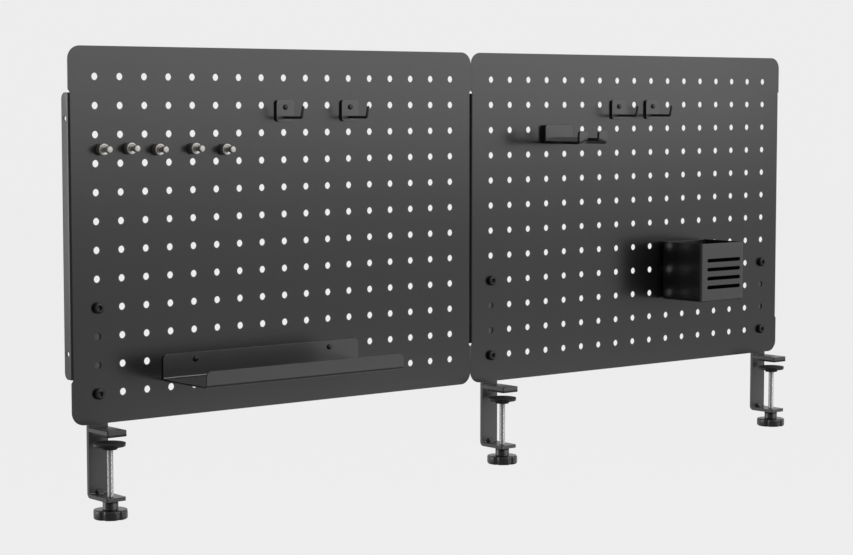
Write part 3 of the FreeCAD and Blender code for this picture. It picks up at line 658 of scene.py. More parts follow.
# Moulded rubber: a matte skin with the fine dust and grain that moulding leaves.
black_rubber = surface("matte black rubber", ["#121213", "#1d1d1e"], 0.5 * mm, 0.02 * mm, (0.85, 0.85),
                       detail=4.0, IOR=1.52)
for number, x in enumerate(clamp_places, 1):
    tip = panel_front - upper_jaw_tip
    path = Path([(tip + pad_length, pad_sheet, 0), (tip, pad_sheet, 0)])
    skin = bent_strip(x, bar_width, path, 0, jaw_tip_r, upwards)
    node = "clamp%d_upper_pad" % number
    made = piece(node + "_sheet", skin, black_rubber, "frame", "rubber", node)
    thicken(made, pad_sheet, pad_edge)

# ---------------------------------------------------------------------------------------------
# Clamp feet. A pressed steel disc with a coned boss, which swivels on the screw's end, and a
# moulded rubber face with three grip rings. Black oxide leaves the steel dark and oily.


def turned(rings, place, axis=upwards, sides=48):
    """Mesh turned about an axis through a place, from (radius, height) rings.

    A radius may be a function of the angle, for a socket, a hexagon, a lobe or a thread."""
    made = []
    for radius, up in rings:
        ring = []
        for side in range(1 if radius == 0 else sides):
            turn = math.tau * side / sides
            reach = radius(turn) if callable(radius) else radius
            ring.append((reach * math.cos(turn), reach * math.sin(turn), up))
        made.append(ring)
    mesh = as_mesh(lofted(made, joined=len(made[0]) > 1), "turned")
    towards = axis.to_track_quat("Z", "Y").to_matrix().to_4x4()
    mesh.transform(Matrix.Translation(place) @ towards)
    return mesh


def profile(corners, steps=4):
    """Rings of a turned profile of (radius, height, rounding) corners, from pole to pole."""
    return [tuple(point) for point in round_off(corners, steps, closed=False)]


# Black oxide on steel: a thin dark film that keeps the metal's soft gloss.
black_oxide = surface("black-oxide steel", ["#2a2a2b", "#2a2a2b"], 0.6 * mm, 0.004 * mm, (0.18, 0.32),
                      Metallic=0.85)
foot_r = 14 * mm
foot_boss_height = 2.8 * mm
foot_boss_top_r = 7.8 * mm
foot_boss_r = 6.5 * mm
foot_bore_r = 3.1 * mm
foot_bore_depth = 3.6 * mm
grip_starts = [2.4 * mm, 6.4 * mm, 10.4 * mm]
grip_width = 2.8 * mm
grip_slope = 0.4 * mm
grip_height = 0.2 * mm
foot_pad_edge_r = 0.2 * mm
foot_pad_low, foot_pad_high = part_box("clamp2_foot_pad")
foot_pad_under = foot_pad_low.z
foot_boss_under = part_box("clamp2_foot")[0].z
foot_disc_under = foot_boss_under + foot_boss_height
foot_bore_top = foot_boss_under + foot_bore_depth
foot_corners = [
    (0, foot_pad_under, 0), (foot_r, foot_pad_under, 0.3 * mm), (foot_r, foot_disc_under, 0.8 * mm),
    (foot_boss_top_r, foot_disc_under, 0.7 * mm), (foot_boss_r, foot_boss_under, 0.5 * mm),
    (foot_bore_r, foot_boss_under, 0.2 * mm), (foot_bore_r, foot_bore_top, 0), (0, foot_bore_top, 0)]
foot_rings = profile(foot_corners)
grip_top = foot_pad_high.z
groove_floor = grip_top - grip_height
grip_corners = [(0, groove_floor, 0)]
for start in grip_starts:
    end = start + grip_width
    grip_corners += [(start, groove_floor, 0), (start + grip_slope, grip_top, 0),
                     (end - grip_slope, grip_top, 0), (end, groove_floor, 0)]
grip_corners += [(foot_r, groove_floor, foot_pad_edge_r), (foot_r, foot_pad_under, 0),
                 (0, foot_pad_under, 0)]
for number, x in enumerate(clamp_places, 1):
    place = Vector((x, 0, 0))
    body = "clamp%d_foot_body" % number
    node = "clamp%d_foot" % number
    piece(node + "_disc", turned(foot_rings, place, sides=64), black_oxide, body, "foot_steel", node)
    node = "clamp%d_foot_pad" % number
    grip = turned(profile(grip_corners), place, sides=64)
    piece(node + "_face", grip, black_rubber, body, "rubber", node)

# ---------------------------------------------------------------------------------------------
# Clamp screws. M6 x 1 rod with a rolled thread all the way from its chamfered point to the knob,
# bright zinc plated, so the flanks flash and the roots stay grey.

# Bright zinc plate: a pale mirror, a little blurred by the draw marks under the plating.
zinc = surface("bright zinc plate", ["#bebebd", "#bebebd"], 0.7 * mm, 0.003 * mm, (0.19, 0.32), Metallic=1.0)
screw_r = 3 * mm
thread_lead = 1 * mm
thread_share = 0.54                 # a thread's depth as a share of its lead
thread_steps = 8                    # rings in one turn of the thread
thread_run_out = 1 * mm
thread_start = 0.2 * mm             # from the rod's upset end
thread_end = 1.1 * mm               # from the rod's chamfered point
point_chamfer = 1 * mm


def thread(crest_r, depth, lead, up):
    """Radius of a threaded rod at a height, as a function of the angle: flat crests, sloped flanks."""
    def radius(turn):
        phase = (up / lead - turn / math.tau) % 1
        slope = min(1.0, max(0.0, abs(phase - 0.5) * 2.6 - 0.2))
        return crest_r - depth * slope
    return radius


def threaded_rings(crest_r, lead, low_z, high_z, run_out):
    """Rings of a thread between two heights, fading into the rod within a run-out at each end."""
    depth = thread_share * lead
    rings = []
    count = round((high_z - low_z) / lead * thread_steps)
    for number in range(count + 1):
        up = low_z + (high_z - low_z) * number / count
        fade = min(1.0, (up - low_z) / run_out, (high_z - up) / run_out)
        rings.append((thread(crest_r, depth * max(fade, 0.0), lead, up), up))
    return rings


for number, x in enumerate(clamp_places, 1):
    node = "clamp%d_screw" % number
    low_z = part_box(node)[0].z
    high_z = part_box(node)[1].z
    rings = [(0, low_z), (screw_r, low_z)]
    rings += threaded_rings(screw_r, thread_lead, low_z + thread_start, high_z - thread_end, thread_run_out)
    rings += [(screw_r - point_chamfer, high_z), (0, high_z)]
    rod = turned(rings, Vector((x, 0, 0)), sides=32)
    piece(node + "_rod", rod, zinc, "clamp%d_screw_body" % number, "plated_steel", node)

# ---------------------------------------------------------------------------------------------
# Knobs. Injection-moulded glass-filled nylon, six lobes round a plain hub, moulded on the rod's
# end; the mould's fine spark grain leaves it matte, with a sink hollow in the underside.

# Glass-filled nylon: dark, with a fine spark grain that breaks its dull gloss.
nylon = surface("black glass-filled nylon", ["#0a0a0a", "#121212"], 0.55 * mm, 0.025 * mm, (0.30, 0.30),
                cells=True, IOR=1.53)
knob_r = 15.2 * mm
knob_height = 8.4 * mm              # of the lobed disc, without the hub
hub_r = 6.95 * mm
groove_r = 3.2 * mm
groove_depth = 1.3 * mm
groove_blend = 0.5 * mm             # on each side of a groove's edge, where it is eased
groove_easing = 0.25                # of the blend, taken off at the edge itself
knob_turns = [30.8, 26.4, 26.9]     # degrees from +X to a groove
lobe_count = 6
knob_bore_r = 3.05 * mm
knob_bore_depth = 6 * mm
bore_mouth = 0.3 * mm               # the chamfer round the rod
bore_draft = 0.05 * mm              # how much wider the bore is at its mouth
hub_edge = 0.5 * mm
knob_hollow = [(0, 1.6), (8.2, 1.6), (8.8, 1.3), (9.4, 0.2), (10.2, 0)]     # mm: radius, up
knob_rim = [(1.5, 0), (0.75, 0.2), (0.2, 0.75), (0, 1.5)]                   # mm: in from the edge, up
hub_foot = [(2.55, 0), (0.8, 0), (0.2, 0.25), (0, 0.9)]                     # mm: out from the hub, up


def lobed(rim_r, first_groove):
    """Radius of a rim with rounded grooves, as a function of the angle."""
    centre_r = knob_r - groove_depth + groove_r

    def radius(turn):
        step = math.tau / lobe_count
        off = (turn - first_groove + step / 2) % step - step / 2
        under_root = groove_r ** 2 - (centre_r * math.sin(off)) ** 2
        groove = centre_r * math.cos(off) - math.sqrt(under_root) if under_root > 0 else knob_r
        reach = min(knob_r, groove)
        blend = max(0.0, groove_blend - abs(knob_r - groove)) if under_root > 0 else 0.0
        return rim_r - (knob_r - reach) - blend * groove_easing
    return radius


knob_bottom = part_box("clamp2_knob")[0].z
knob_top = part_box("clamp2_knob")[1].z
disc_top = knob_bottom + knob_height
for number, x in enumerate(clamp_places, 1):
    groove_turn = math.radians(knob_turns[number - 1])
    rings = [(radius * mm, knob_bottom + up * mm) for radius, up in knob_hollow]
    for inwards, up in knob_rim:
        rings.append((lobed(knob_r - inwards * mm, groove_turn), knob_bottom + up * mm))
    for inwards, up in reversed(knob_rim):
        rings.append((lobed(knob_r - inwards * mm, groove_turn), disc_top - up * mm))
    rings += [(hub_r + outwards * mm, disc_top + up * mm) for outwards, up in hub_foot]
    rings += [(hub_r, knob_top - hub_edge), (hub_r - hub_edge, knob_top),
              (knob_bore_r + bore_draft + bore_mouth, knob_top),
              (knob_bore_r + bore_draft, knob_top - bore_mouth),
              (knob_bore_r, knob_top - knob_bore_depth), (0, knob_top - knob_bore_depth)]
    node = "clamp%d_knob" % number
    knob = turned(rings, Vector((x, 0, 0)), sides=120)
    piece(node + "_moulding", knob, nylon, "clamp%d_screw_body" % number, "knob_plastic", node)

# ---------------------------------------------------------------------------------------------
# Bracket fasteners. M6 round-head socket screws pass through the panel and the bar into washers
# and nuts behind, all black oxide; each was driven to its own angle.

bolt_head_r = 5 * mm
bolt_head_height = 4 * mm
bolt_edge_r = 1.8 * mm
bolt_socket = 2 * mm                # half of 4 mm across flats
bolt_socket_depth = 2.5 * mm
bolt_length = 12 * mm
washer_r = 6 * mm
washer_sheet = 1.6 * mm
nut_flat = 5 * mm
nut_height = 5 * mm
nut_clearance = 0.02 * mm           # round the thread


def hexagon(flat, limit=1.0):
    """Radius of a hexagon with flats at a distance, no more than a limit, as a function of the angle."""
    def radius(turn):
        return min(limit, flat / math.cos(turn % (math.pi / 3) - math.pi / 6))
    return radius


def screw_mesh(head_r, head_height, edge_r, socket, socket_depth, shank_r, length, lead, axis):
    """Round-head socket screw about the origin, its seat at 0 and its thread along the axis."""
    crown_rim = 0.5 * mm            # the head's flat top beyond its rounded edge
    cone = 0.4 * mm                 # the drill's point under the socket
    mouth = 1.22                    # the socket's mouth as a share of half its flats
    seat_round = 0.25 * mm
    chamfer = 0.6 * mm              # at the shank's end
    dome = round_off([(head_r - edge_r - crown_rim, -head_height, 0), (head_r, -head_height, edge_r),
                      (head_r, 0, 0)], 6, closed=False)
    floor = socket_depth - head_height
    rings = [(0, floor + cone), (hexagon(socket * 0.9), floor), (hexagon(socket), floor - 0.1 * mm),
             (hexagon(socket), 0.2 * mm - head_height), (socket * mouth, -head_height)]
    rings += [tuple(point) for point in dome[:-1]]
    rings += [(head_r, -seat_round), (head_r - seat_round, 0), (shank_r, 0)]
    rings += threaded_rings(shank_r, lead, 0.2 * mm, length - chamfer, 0.5 * mm)
    rings += [(shank_r - chamfer, length), (0, length)]
    return turned(rings, Vector(), axis)


def nut_mesh(flat, height, bore_r, axis):
    """Hexagon nut about the origin with its corners turned off towards both faces."""
    corner_r = flat / math.cos(math.pi / 6)
    mouth = 0.4 * mm                # the chamfer at each end of the bore
    turned_off = [(0.955, 0), (0.985, 0.11), (1.0, 0.19)]   # shares of the corner's radius and the height
    rings = [(bore_r, mouth), (bore_r + mouth, 0)]
    rings += [(hexagon(flat, corner_r * share), height * up) for share, up in turned_off]
    rings += [(hexagon(flat, corner_r * share), height * (1 - up)) for share, up in reversed(turned_off)]
    rings += [(bore_r + mouth, height), (bore_r, height - mouth)]
    return turned(rings, Vector(), axis)


def washer_mesh(outer_r, inner_r, sheet, axis, edge_r=0.25 * mm):
    """Stamped washer about the origin, rounded where the die rolled its edges."""
    section = [(inner_r, 0, edge_r), (outer_r, 0, edge_r),
               (outer_r, sheet, edge_r), (inner_r, sheet, edge_r)]
    return turned([tuple(point) for point in round_off(section, 3)], Vector(), axis)


def fastening_tree():
    """Sets a fastener on every seed point, turned about its axis by a random amount."""
    tree, given = new_tree("fasteners", [
        ("Fastener", "Object"), ("Least turn", "Vector"), ("Most turn", "Vector"),
        ("Seed", "Int"), ("Finish", "Material")])
    shape = add(tree, "GeometryNodeObjectInfo", {"Object": given["Fastener"]})
    turn = add(tree, "FunctionNodeRandomValue", {
        0: given["Least turn"], 1: given["Most turn"], "Seed": given["Seed"]}, data_type="FLOAT_VECTOR")
    placed = add(tree, "GeometryNodeInstanceOnPoints", {
        "Points": given["Seed geometry"], "Instance": shape.outputs["Geometry"],
        "Rotation": turn.outputs[0]})
    solid = add(tree, "GeometryNodeRealizeInstances", {"Geometry": placed.outputs[0]})
    painted = add(tree, "GeometryNodeSetMaterial", {
        "Geometry": solid.outputs[0], "Material": given["Finish"]})
    add(tree, "NodeGroupOutput", {0: painted.outputs[0]})
    return tree


fasteners = fastening_tree()


def fastened(name, mesh, places, most_turn, seed, finish, slot, node):
    """Piece with one fastener at each place, turned about its axis by up to most_turn."""
    pattern = new_object("pattern", mesh)
    points = bpy.data.meshes.new("points")
    points.from_pydata([tuple(place) for place in places], [], [])
    values = {"Fastener": pattern, "Least turn": (0, 0, 0), "Most turn": most_turn,
              "Seed": seed, "Finish": finish}
    whole = grown(fasteners, points, values)
    bpy.data.objects.remove(pattern)
    return piece(name, whole, finish, "frame", slot, node)


sixth_back = (0, math.radians(60), 0)       # a hexagon's turn about an axis that points back
bolt_seats = [hole_at(panel, column, row) for panel, column in clamp_holes for row in bolt_rows]
washer_seats = [seat + Vector((0, panel_sheet + bar_sheet, 0)) for seat in bolt_seats]
nut_seats = [seat + Vector((0, washer_sheet, 0)) for seat in washer_seats]
bolt = screw_mesh(bolt_head_r, bolt_head_height, bolt_edge_r, bolt_socket, bolt_socket_depth, screw_r,
                  bolt_length, thread_lead, to_back)
washer = washer_mesh(washer_r, hole_r, washer_sheet, to_back)
nut = nut_mesh(nut_flat, nut_height, screw_r + nut_clearance, to_back)
fastened("bracket_screws", bolt, bolt_seats, sixth_back, 4, black_oxide, "black_screws", "bracket_bolts")
fastened("bracket_washers_stamped", washer, washer_seats, sixth_back, 5, black_oxide, "black_screws",
         "bracket_washers")
fastened("bracket_nuts_hexagon", nut, nut_seats, sixth_back, 6, black_oxide, "black_screws", "bracket_nuts")

# ---------------------------------------------------------------------------------------------
# Joining screws. Two M4 button-head screws of black oxide steel pull the panels' neighbouring
# flanges together across thin nylon spacers, with nuts on the right panel's side.

join_gap_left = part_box("panel_join_spacers")[0].x
join_gap_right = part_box("panel_join_spacers")[1].x
join_middle = Vector((0, panel_front + join_hole_back, (panel_low.z + panel_high.z) / 2))
to_right = Vector((1, 0, 0))
sixth_across = (math.radians(60), 0, 0)
join_screw = screw_mesh(head_r=3.8 * mm, head_height=2.2 * mm, edge_r=1.4 * mm, socket=1.25 * mm,
                        socket_depth=1.3 * mm, shank_r=2 * mm, length=8 * mm, lead=0.7 * mm, axis=to_right)
join_nut = nut_mesh(flat=3.5 * mm, height=3.2 * mm, bore_r=2 * mm + nut_clearance, axis=to_right)
spacer = washer_mesh(4.5 * mm, join_hole_r, join_gap_right - join_gap_left, to_right, 0.1 * mm)


def join_seats(x):
    """The two joining screws' places at a distance along the panels."""
    return [join_middle + Vector((x, 0, up)) for up in (-join_hole_spread, join_hole_spread)]


fastened("join_screws", join_screw, join_seats(join_gap_left - panel_sheet), sixth_across, 1, black_oxide,
         "black_screws", "panel_join_screws")
fastened("join_nuts", join_nut, join_seats(join_gap_right + panel_sheet), sixth_across, 2, black_oxide,
         "black_screws", "panel_join_nuts")
fastened("join_spacers", spacer, join_seats(join_gap_left), (0, 0, 0), 3, nylon, "nylon",
         "panel_join_spacers")

# ---------------------------------------------------------------------------------------------
# Pegs. Turned steel pegs, riveted through each accessory: a low domed head in front, a collar
# where the accessory stands off, a neck in the panel's hole and a button that hooks behind it.

peg_head_r = 2.5 * mm
peg_head_height = 1.6 * mm
peg_dome_r = 1.15 * mm
peg_shank_r = 1.5 * mm
peg_neck_r = 1.25 * mm
peg_button_r = 3 * mm
peg_button_height = 1.5 * mm
peg_seat = 0.2 * mm
peg_button_gap = 0.3 * mm
collar_r = 4 * mm                   # behind the cup
stud_r = 2.5 * mm                   # inside the headphone hook's pan
neck_drop = hole_r - peg_neck_r - peg_seat


def peg_axis(panel, column, row):
    """Where a peg's axis meets the panel's front, once its neck has dropped in the hole."""
    return hole_at(panel, column, row) - Vector((0, 0, neck_drop))


def peg_mesh(place, plate_front, plate_back=0, head=True, shoulder_r=0):
    """One peg in a hole; plate_front and plate_back are distances in front of the panel.

    Without a head it is a stud; a shoulder's radius gives it a collar behind the plate."""
    if head:
        corners = [(0, -plate_front - peg_head_height, 0),
                   (peg_head_r, -plate_front - peg_head_height, peg_dome_r),
                   (peg_head_r, -plate_front, 0.1 * mm), (peg_shank_r, -plate_front, 0)]
    else:
        corners = [(0, -plate_front, 0), (shoulder_r, -plate_front, 0)]
    if head and shoulder_r:
        corners += [(peg_shank_r, -plate_back, 0), (shoulder_r, -plate_back, 0.3 * mm)]
    button_front = panel_sheet + peg_button_gap
    corners += [(shoulder_r or peg_shank_r, 0, 0.1 * mm), (peg_neck_r, 0, 0), (peg_neck_r, button_front, 0),
                (peg_button_r, button_front, 0.3 * mm),
                (peg_button_r, button_front + peg_button_height, 0.5 * mm),
                (0, button_front + peg_button_height, 0)]
    return turned(profile(corners), peg_axis(*place), to_back, 40)


def joined(meshes):
    """Several meshes as one."""
    shape = bmesh.new()
    for mesh in meshes:
        shape.from_mesh(mesh)
    return as_mesh(shape, "joined")


# ---------------------------------------------------------------------------------------------
# Small hooks. A square 2.5 mm plate with a round wire welded to it, which runs forward and bends
# up into a lip that leans outward; satin black powder coat over rounded edges.

# Satin powder coat on the accessories: as dark as the panels', with a finer peel and a duller gloss.
accessory_coat = surface("satin powder coat", ["#0d0d0d", "#101010"], 0.8 * mm, 0.010 * mm, (0.26, 0.36),
                         cloud=cloud_size, IOR=1.6)
hook_places = [(0, 8, 1), (0, 11, 1), (1, 7, 1), (1, 9, 1)]     # panel, column, row
hook_plate_r = 3 * mm
hook_sheet = 2.5 * mm
hook_wire_r = 1.35 * mm
hook_wire_up = 3.9 * mm             # from the plate's lower edge up to the wire's axis
hook_bend_r = 1.2 * mm              # inside
hook_lip_height = 12.1 * mm         # above the wire's underside
hook_lip_lean = 2.2 * mm
hook_edge = 0.25 * mm


def wire_mesh(x, corners, radius, sides=24):
    """Round wire through (back, up, radius) corners in a side view at x, its end a half ball."""
    route = round_off(corners, 8, closed=False)
    rings = []
    for number, point in enumerate(route):
        along = (route[min(number + 1, len(route) - 1)] - route[max(number - 1, 0)]).normalized()
        rings.append((point, along, radius))
    for step in range(1, 6):
        turn = math.pi / 2 * step / 6
        rings.append((route[-1] + along * radius * math.sin(turn), along, radius * math.cos(turn)))
    circles = []
    for centre, along, ring_r in rings:
        ring = []
        for side in range(sides):
            turn = math.tau * side / sides
            back, up = centre + Vector((-along.y, along.x)) * ring_r * math.sin(turn)
            ring.append((x + ring_r * math.cos(turn), back, up))
        circles.append(ring)
    return as_mesh(lofted(circles, filled=(0, -1)), "wire")


for number, place in enumerate(hook_places, 1):
    node = "hook%d" % number
    body = "hook%d_body" % number
    low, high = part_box(node)
    x = hole_at(*place).x
    face_y = panel_front - hook_sheet
    plate_path = Path([(face_y, high.z, 0), (face_y, low.z, 0)])
    skin = bent_strip(x, high.x - low.x, plate_path, hook_plate_r, hook_plate_r, to_front)
    made = piece(node + "_plate", skin, accessory_coat, body, "accessory_steel", node)
    thicken(made, hook_sheet, hook_edge)
    wire_z = low.z + hook_wire_up
    tip = low.y + hook_wire_r
    tip_z = wire_z + hook_lip_height - 2 * hook_wire_r
    route = [(panel_front - hook_sheet / 2, wire_z, 0),
             (tip + hook_lip_lean, wire_z, hook_bend_r + hook_wire_r), (tip, tip_z, 0)]
    wire = wire_mesh(x, route, hook_wire_r)
    piece(node + "_wire", wire, accessory_coat, body, "accessory_steel", node)
    node = node + "_peg"
    piece(node + "_turned", peg_mesh(place, hook_sheet), black_oxide, body, "peg_steel", node)

# ---------------------------------------------------------------------------------------------
# Headphone hook. A shallow pressed pan hangs on two hidden studs; out of its foot runs an arched
# saddle of 3 mm steel, forked at the front into two prongs that are turned up.

headphone_places = [(1, 3, 2), (1, 4, 2)]
pan_depth = 5.6 * mm
pan_wall = 2 * mm
pan_corner_r = 3 * mm
pan_bend_r = 0.8 * mm               # outside
saddle_sheet = 3 * mm
saddle_rise = 4 * mm
saddle_under_top = 12.4 * mm        # from the pan's top edge down to the saddle's crown
prong_width = 11.5 * mm
prong_height = 6.4 * mm
prong_corner_r = 2 * mm
prong_bend_r = 0.8 * mm             # inside
fork_depth = 24 * mm                # of the notch between the prongs
fork_r = 5 * mm
headphone_edge = 0.2 * mm
headphone_low, headphone_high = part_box("headphone_hook")
saddle_middle = (headphone_low.x + headphone_high.x) / 2
saddle_half = (headphone_high.x - headphone_low.x) / 2
crown = headphone_high.z - saddle_under_top
arch_r = (saddle_half ** 2 + saddle_rise ** 2) / (2 * saddle_rise)


def arch_drop(off):
    """How far the saddle lies below its crown, at a distance off its middle."""
    return arch_r - math.sqrt(arch_r ** 2 - off ** 2)


def pan_mesh():
    """Outer skin of the pan, open at the back, its front edges rounded."""
    steps = 14
    outline = round_off([(-saddle_half, headphone_high.z - crown, pan_corner_r),
                         (saddle_half, headphone_high.z - crown, pan_corner_r),
                         (saddle_half, 0, 0), (-saddle_half, 0, 0)], 6)[:-2]
    for step in range(steps + 1):
        off = saddle_half - 2 * saddle_half * step / steps
        outline.append(Vector((off, -arch_drop(off) - saddle_sheet / 2)))
    depths = (panel_front - pan_depth, panel_front)
    rims = [[(saddle_middle + a, y, crown + b) for a, b in outline] for y in depths]
    shape = lofted(rims, filled=(0,))
    shape.faces.ensure_lookup_table()
    face = shape.faces[-1]
    if face.normal.y > 0:
        bmesh.ops.reverse_faces(shape, faces=shape.faces)
    bmesh.ops.bevel(shape, geom=list(face.edges), offset=pan_bend_r, segments=6, profile=0.5, affect="EDGES",
                    clamp_overlap=True)
    return as_mesh(shape, "pan")


def saddle_mesh():
    """Upper face of the arched saddle and the inner face of its two prongs."""
    inner_y = headphone_low.y + saddle_sheet
    root_y = panel_front - 1 * mm
    path = Path([(root_y, 0, 0), (inner_y, 0, prong_bend_r),
                 (inner_y, prong_height + saddle_rise, 0)], 8)
    level = path.length - saddle_rise       # where the middle of the prongs' top edge would be
    notch_half = saddle_half - prong_width
    notch_along = root_y - headphone_low.y - fork_depth
    right = [(notch_half, notch_along, fork_r), (notch_half, level, prong_corner_r),
             (saddle_half, level + saddle_rise, prong_corner_r)]
    left = [(-off, along, radius) for off, along, radius in reversed(right)]
    rounded = round_off([(-saddle_half, 0, 0), *left, *right, (saddle_half, 0, 0)], 5)
    outline = []
    for point, after in zip(rounded, rounded[1:] + rounded[:1]):
        pieces_across = max(1, int(abs(after.x - point.x) / (2.5 * mm)))
        for step in range(pieces_across):
            outline.append(point.lerp(after, step / pieces_across))

    def to_space(off, point):
        return (saddle_middle + off, point[0], crown - arch_drop(min(abs(off), saddle_half)) + point[1])
    return folded(outline, [], path, to_space, upwards)


for name, mesh, sheet in (("pan", pan_mesh(), pan_wall), ("saddle", saddle_mesh(), saddle_sheet)):
    made = piece("headphone_hook_" + name, mesh, accessory_coat, "headphone_hook_body", "accessory_steel",
                 "headphone_hook")
    thicken(made, sheet, headphone_edge)
studs = [peg_mesh(place, pan_depth - pan_wall, head=False, shoulder_r=stud_r) for place in headphone_places]
piece("headphone_hook_studs", joined(studs), black_oxide, "headphone_hook_body", "peg_steel",
      "headphone_hook_pegs")

# ---------------------------------------------------------------------------------------------
# Tray. One 1.5 mm blank bent twice, into a back plate and a front lip, open at both ends; the
# corners are rounded before bending. Satin black powder coat.

tray_places = [(0, 4, 10), (0, 10, 10)]
tray_sheet = 1.5 * mm
tray_bend_r = 1.8 * mm              # inside
tray_lip_height = 15 * mm
tray_back_corner_r = 4.5 * mm
tray_lip_corner_r = 5 * mm
tray_edge = 0.35 * mm
tray_low, tray_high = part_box("tray")
tray_floor = tray_low.z + tray_sheet
tray_back = panel_front - tray_sheet
tray_lip = tray_low.y + tray_sheet
tray_path = Path([
    (tray_back, tray_high.z, 0), (tray_back, tray_floor, tray_bend_r),
    (tray_lip, tray_floor, tray_bend_r), (tray_lip, tray_low.z + tray_lip_height, 0)])
skin = bent_strip((tray_low.x + tray_high.x) / 2, tray_high.x - tray_low.x, tray_path, tray_back_corner_r,
                  tray_lip_corner_r, to_front)
made = piece("tray_folded", skin, accessory_coat, "tray_body", "accessory_steel", "tray")
thicken(made, tray_sheet, tray_edge)
pegs = [peg_mesh(place, tray_sheet) for place in tray_places]
piece("tray_pegs_turned", joined(pegs), black_oxide, "tray_body", "peg_steel", "tray_pegs")

# ---------------------------------------------------------------------------------------------
# Cup. A strip of 1.2 mm steel with four slots, wrapped into a box round a welded floor; it
# stands off the panel on collared pegs and two rubber bumpers.

cup_places = [(1, 10, 7), (1, 12, 7)]
cup_sheet = 1.2 * mm
cup_bend_r = 2.5 * mm               # outside
cup_foot_r = 2 * mm                 # outside, round the floor
slot_count = 4
slot_length = 51.2 * mm
slot_height = 3.9 * mm
slot_pitch = 9.6 * mm
slot_drop = 18.3 * mm               # from the rim down to the first slot's middle
cup_edge = 0.15 * mm
floor_inset = 1.5 * mm
floor_lift = 0.3 * mm
floor_corner_r = 1.2 * mm
floor_edge = 0.2 * mm
bumper_r = 4 * mm
bumper_round = 1.2 * mm
cup_low, cup_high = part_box("cup")
cup_middle = (cup_low.x + cup_high.x) / 2
cup_standoff = panel_front - cup_high.y
slot_middle = (hole_at(*cup_places[0]).x + hole_at(*cup_places[1]).x) / 2
wrap = Path([
    (cup_middle, cup_high.y, 0), (cup_low.x, cup_high.y, cup_bend_r), (cup_low.x, cup_low.y, cup_bend_r),
    (cup_high.x, cup_low.y, cup_bend_r), (cup_high.x, cup_high.y, cup_bend_r), (cup_middle, cup_high.y, 0)])
cup_height = cup_high.z - cup_low.z


def round_cup(depth, point):
    """Puts (depth below the rim, point of the wrap) on the cup's wall, turned in round its foot."""
    turn = max(0.0, (depth - cup_height + cup_foot_r) / cup_foot_r)
    core = Vector((min(max(point.x, cup_low.x + cup_bend_r), cup_high.x - cup_bend_r),
                   min(max(point.y, cup_low.y + cup_bend_r), cup_high.y - cup_bend_r)))
    inset = point - (point - core).normalized() * cup_foot_r * (1 - math.cos(turn))
    straight = min(depth, cup_height - cup_foot_r)
    return (inset.x, inset.y, cup_high.z - straight - cup_foot_r * math.sin(turn))


end_r = slot_height / 2
end_rounding = end_r * 0.999                # leaves a slot's end a short straight stretch
slots = []
for number in range(slot_count):
    depth = slot_drop + number * slot_pitch
    start = wrap.length / 2 + slot_middle - cup_middle - slot_length / 2
    end = start + slot_length
    slots.append(round_off([
        (depth - end_r, start, end_rounding), (depth + end_r, start, end_rounding),
        (depth + end_r, end, end_rounding), (depth - end_r, end, end_rounding)], 8))
straight_depth = cup_height - cup_foot_r
foot_round = cup_foot_r * math.pi / 2
wall_depth = straight_depth + foot_round
foot_creases = [straight_depth + foot_round * step / 5 for step in range(5)]
outline = [(0, 0), (wall_depth, 0), (wall_depth, wrap.length), (0, wrap.length)]
skin = folded(outline, slots, wrap, round_cup, to_back, foot_creases)
made = piece("cup_wrap", skin, accessory_coat, "cup_body", "accessory_steel", "cup")
thicken(made, cup_sheet, cup_edge)
floor_top = cup_low.z + cup_sheet + floor_lift
floor_path = Path([(cup_high.y - floor_inset, floor_top, 0), (cup_low.y + floor_inset, floor_top, 0)])
floor_width = cup_high.x - cup_low.x - 2 * floor_inset
skin = bent_strip(cup_middle, floor_width, floor_path, floor_corner_r, floor_corner_r, upwards)
made = piece("cup_floor", skin, accessory_coat, "cup_body", "accessory_steel", "cup")
thicken(made, cup_sheet, floor_edge)
pegs = [peg_mesh(place, cup_standoff + cup_sheet, cup_standoff, shoulder_r=collar_r) for place in cup_places]
piece("cup_pegs_turned", joined(pegs), black_oxide, "cup_body", "peg_steel", "cup_pegs")
bumper_low, bumper_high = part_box("cup_bumpers")
bumper_rings = profile([(0, 0, 0), (bumper_r, 0, 0), (bumper_r, cup_standoff, bumper_round),
                        (0, cup_standoff, 0)])
bumpers = []
for place in cup_places:
    at = Vector((hole_at(*place).x, panel_front - cup_standoff, (bumper_low.z + bumper_high.z) / 2))
    bumpers.append(turned(bumper_rings, at, to_back, 40))
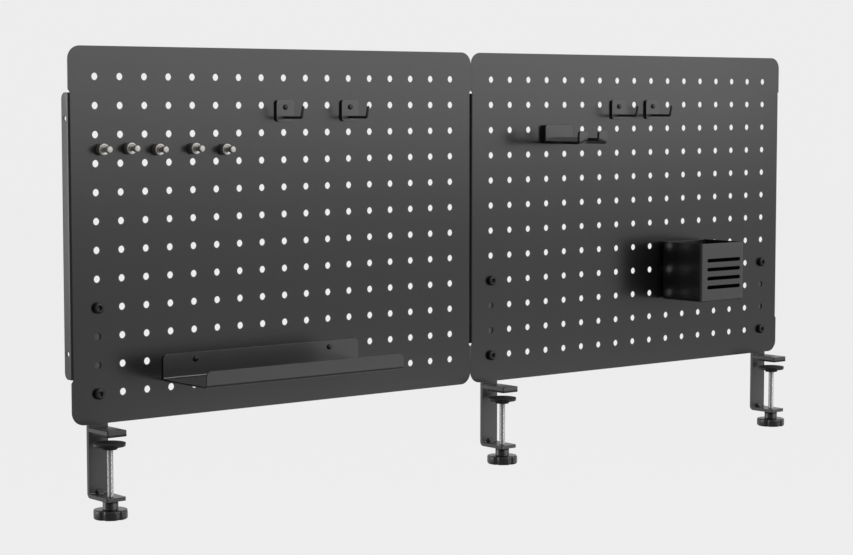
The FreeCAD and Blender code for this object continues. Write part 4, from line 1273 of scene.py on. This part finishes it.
piece("cup_bumpers_moulded", joined(bumpers), black_rubber, "cup_body", "rubber", "cup_bumpers")

# ---------------------------------------------------------------------------------------------
# Magnets. Each push-pin is turned from steel and satin nickel plated, with a dished rim, a thin waist
# and a round head, and holds a disc magnet in the pocket of its base.

# Satin nickel plate: a warm grey whose blur hides all but the brightest reflections.
nickel = surface("satin nickel plate", ["#a3a19d", "#a3a19d"], 0.5 * mm, 0.002 * mm, (0.40, 0.53),
                 Metallic=1.0)
magnet_offsets = [5.4 * mm, 33.7 * mm, 63.3 * mm, 101.8 * mm, 135.4 * mm]   # from the first column
magnet_r = 5.25 * mm
magnet_base = 6 * mm
magnet_dish_r = 3.9 * mm
magnet_dish_depth = 0.8 * mm
magnet_waist_r = 2.25 * mm
magnet_head_r = 3.1 * mm
magnet_neck = 11.5 * mm
magnet_length = 15.5 * mm
disc_r = 4 * mm
disc_height = 3 * mm
pocket_r = disc_r + 0.05 * mm
shell_rings = profile([
    (0, disc_height, 0), (pocket_r, disc_height, 0), (pocket_r, 0, 0), (magnet_r, 0, 0.3 * mm),
    (magnet_r, magnet_base, 0.6 * mm), (magnet_dish_r, magnet_base, 0.2 * mm),
    (magnet_waist_r, magnet_base - magnet_dish_depth, 0.5 * mm), (magnet_waist_r, magnet_neck, 0.5 * mm),
    (magnet_head_r, magnet_neck, 0.8 * mm), (magnet_head_r, magnet_length, 0.9 * mm), (0, magnet_length, 0)])
disc_rings = profile([
    (0, 0, 0), (disc_r, 0, 0.2 * mm), (disc_r, disc_height, 0.2 * mm), (0, disc_height, 0)])
for number, offset in enumerate(magnet_offsets, 1):
    node = "magnet%d" % number
    low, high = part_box(node)
    at = Vector((first_columns[0] + offset, panel_front, (low.z + high.z) / 2))
    shell = turned(shell_rings, at, to_front)
    piece(node + "_turned", shell, nickel, node + "_body", "magnet_shell", node)
    disc = turned(disc_rings, at, to_front)
    piece(node + "_disc_sintered", disc, nickel, node + "_body", "magnet_disc", node + "_disc")

low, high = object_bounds()
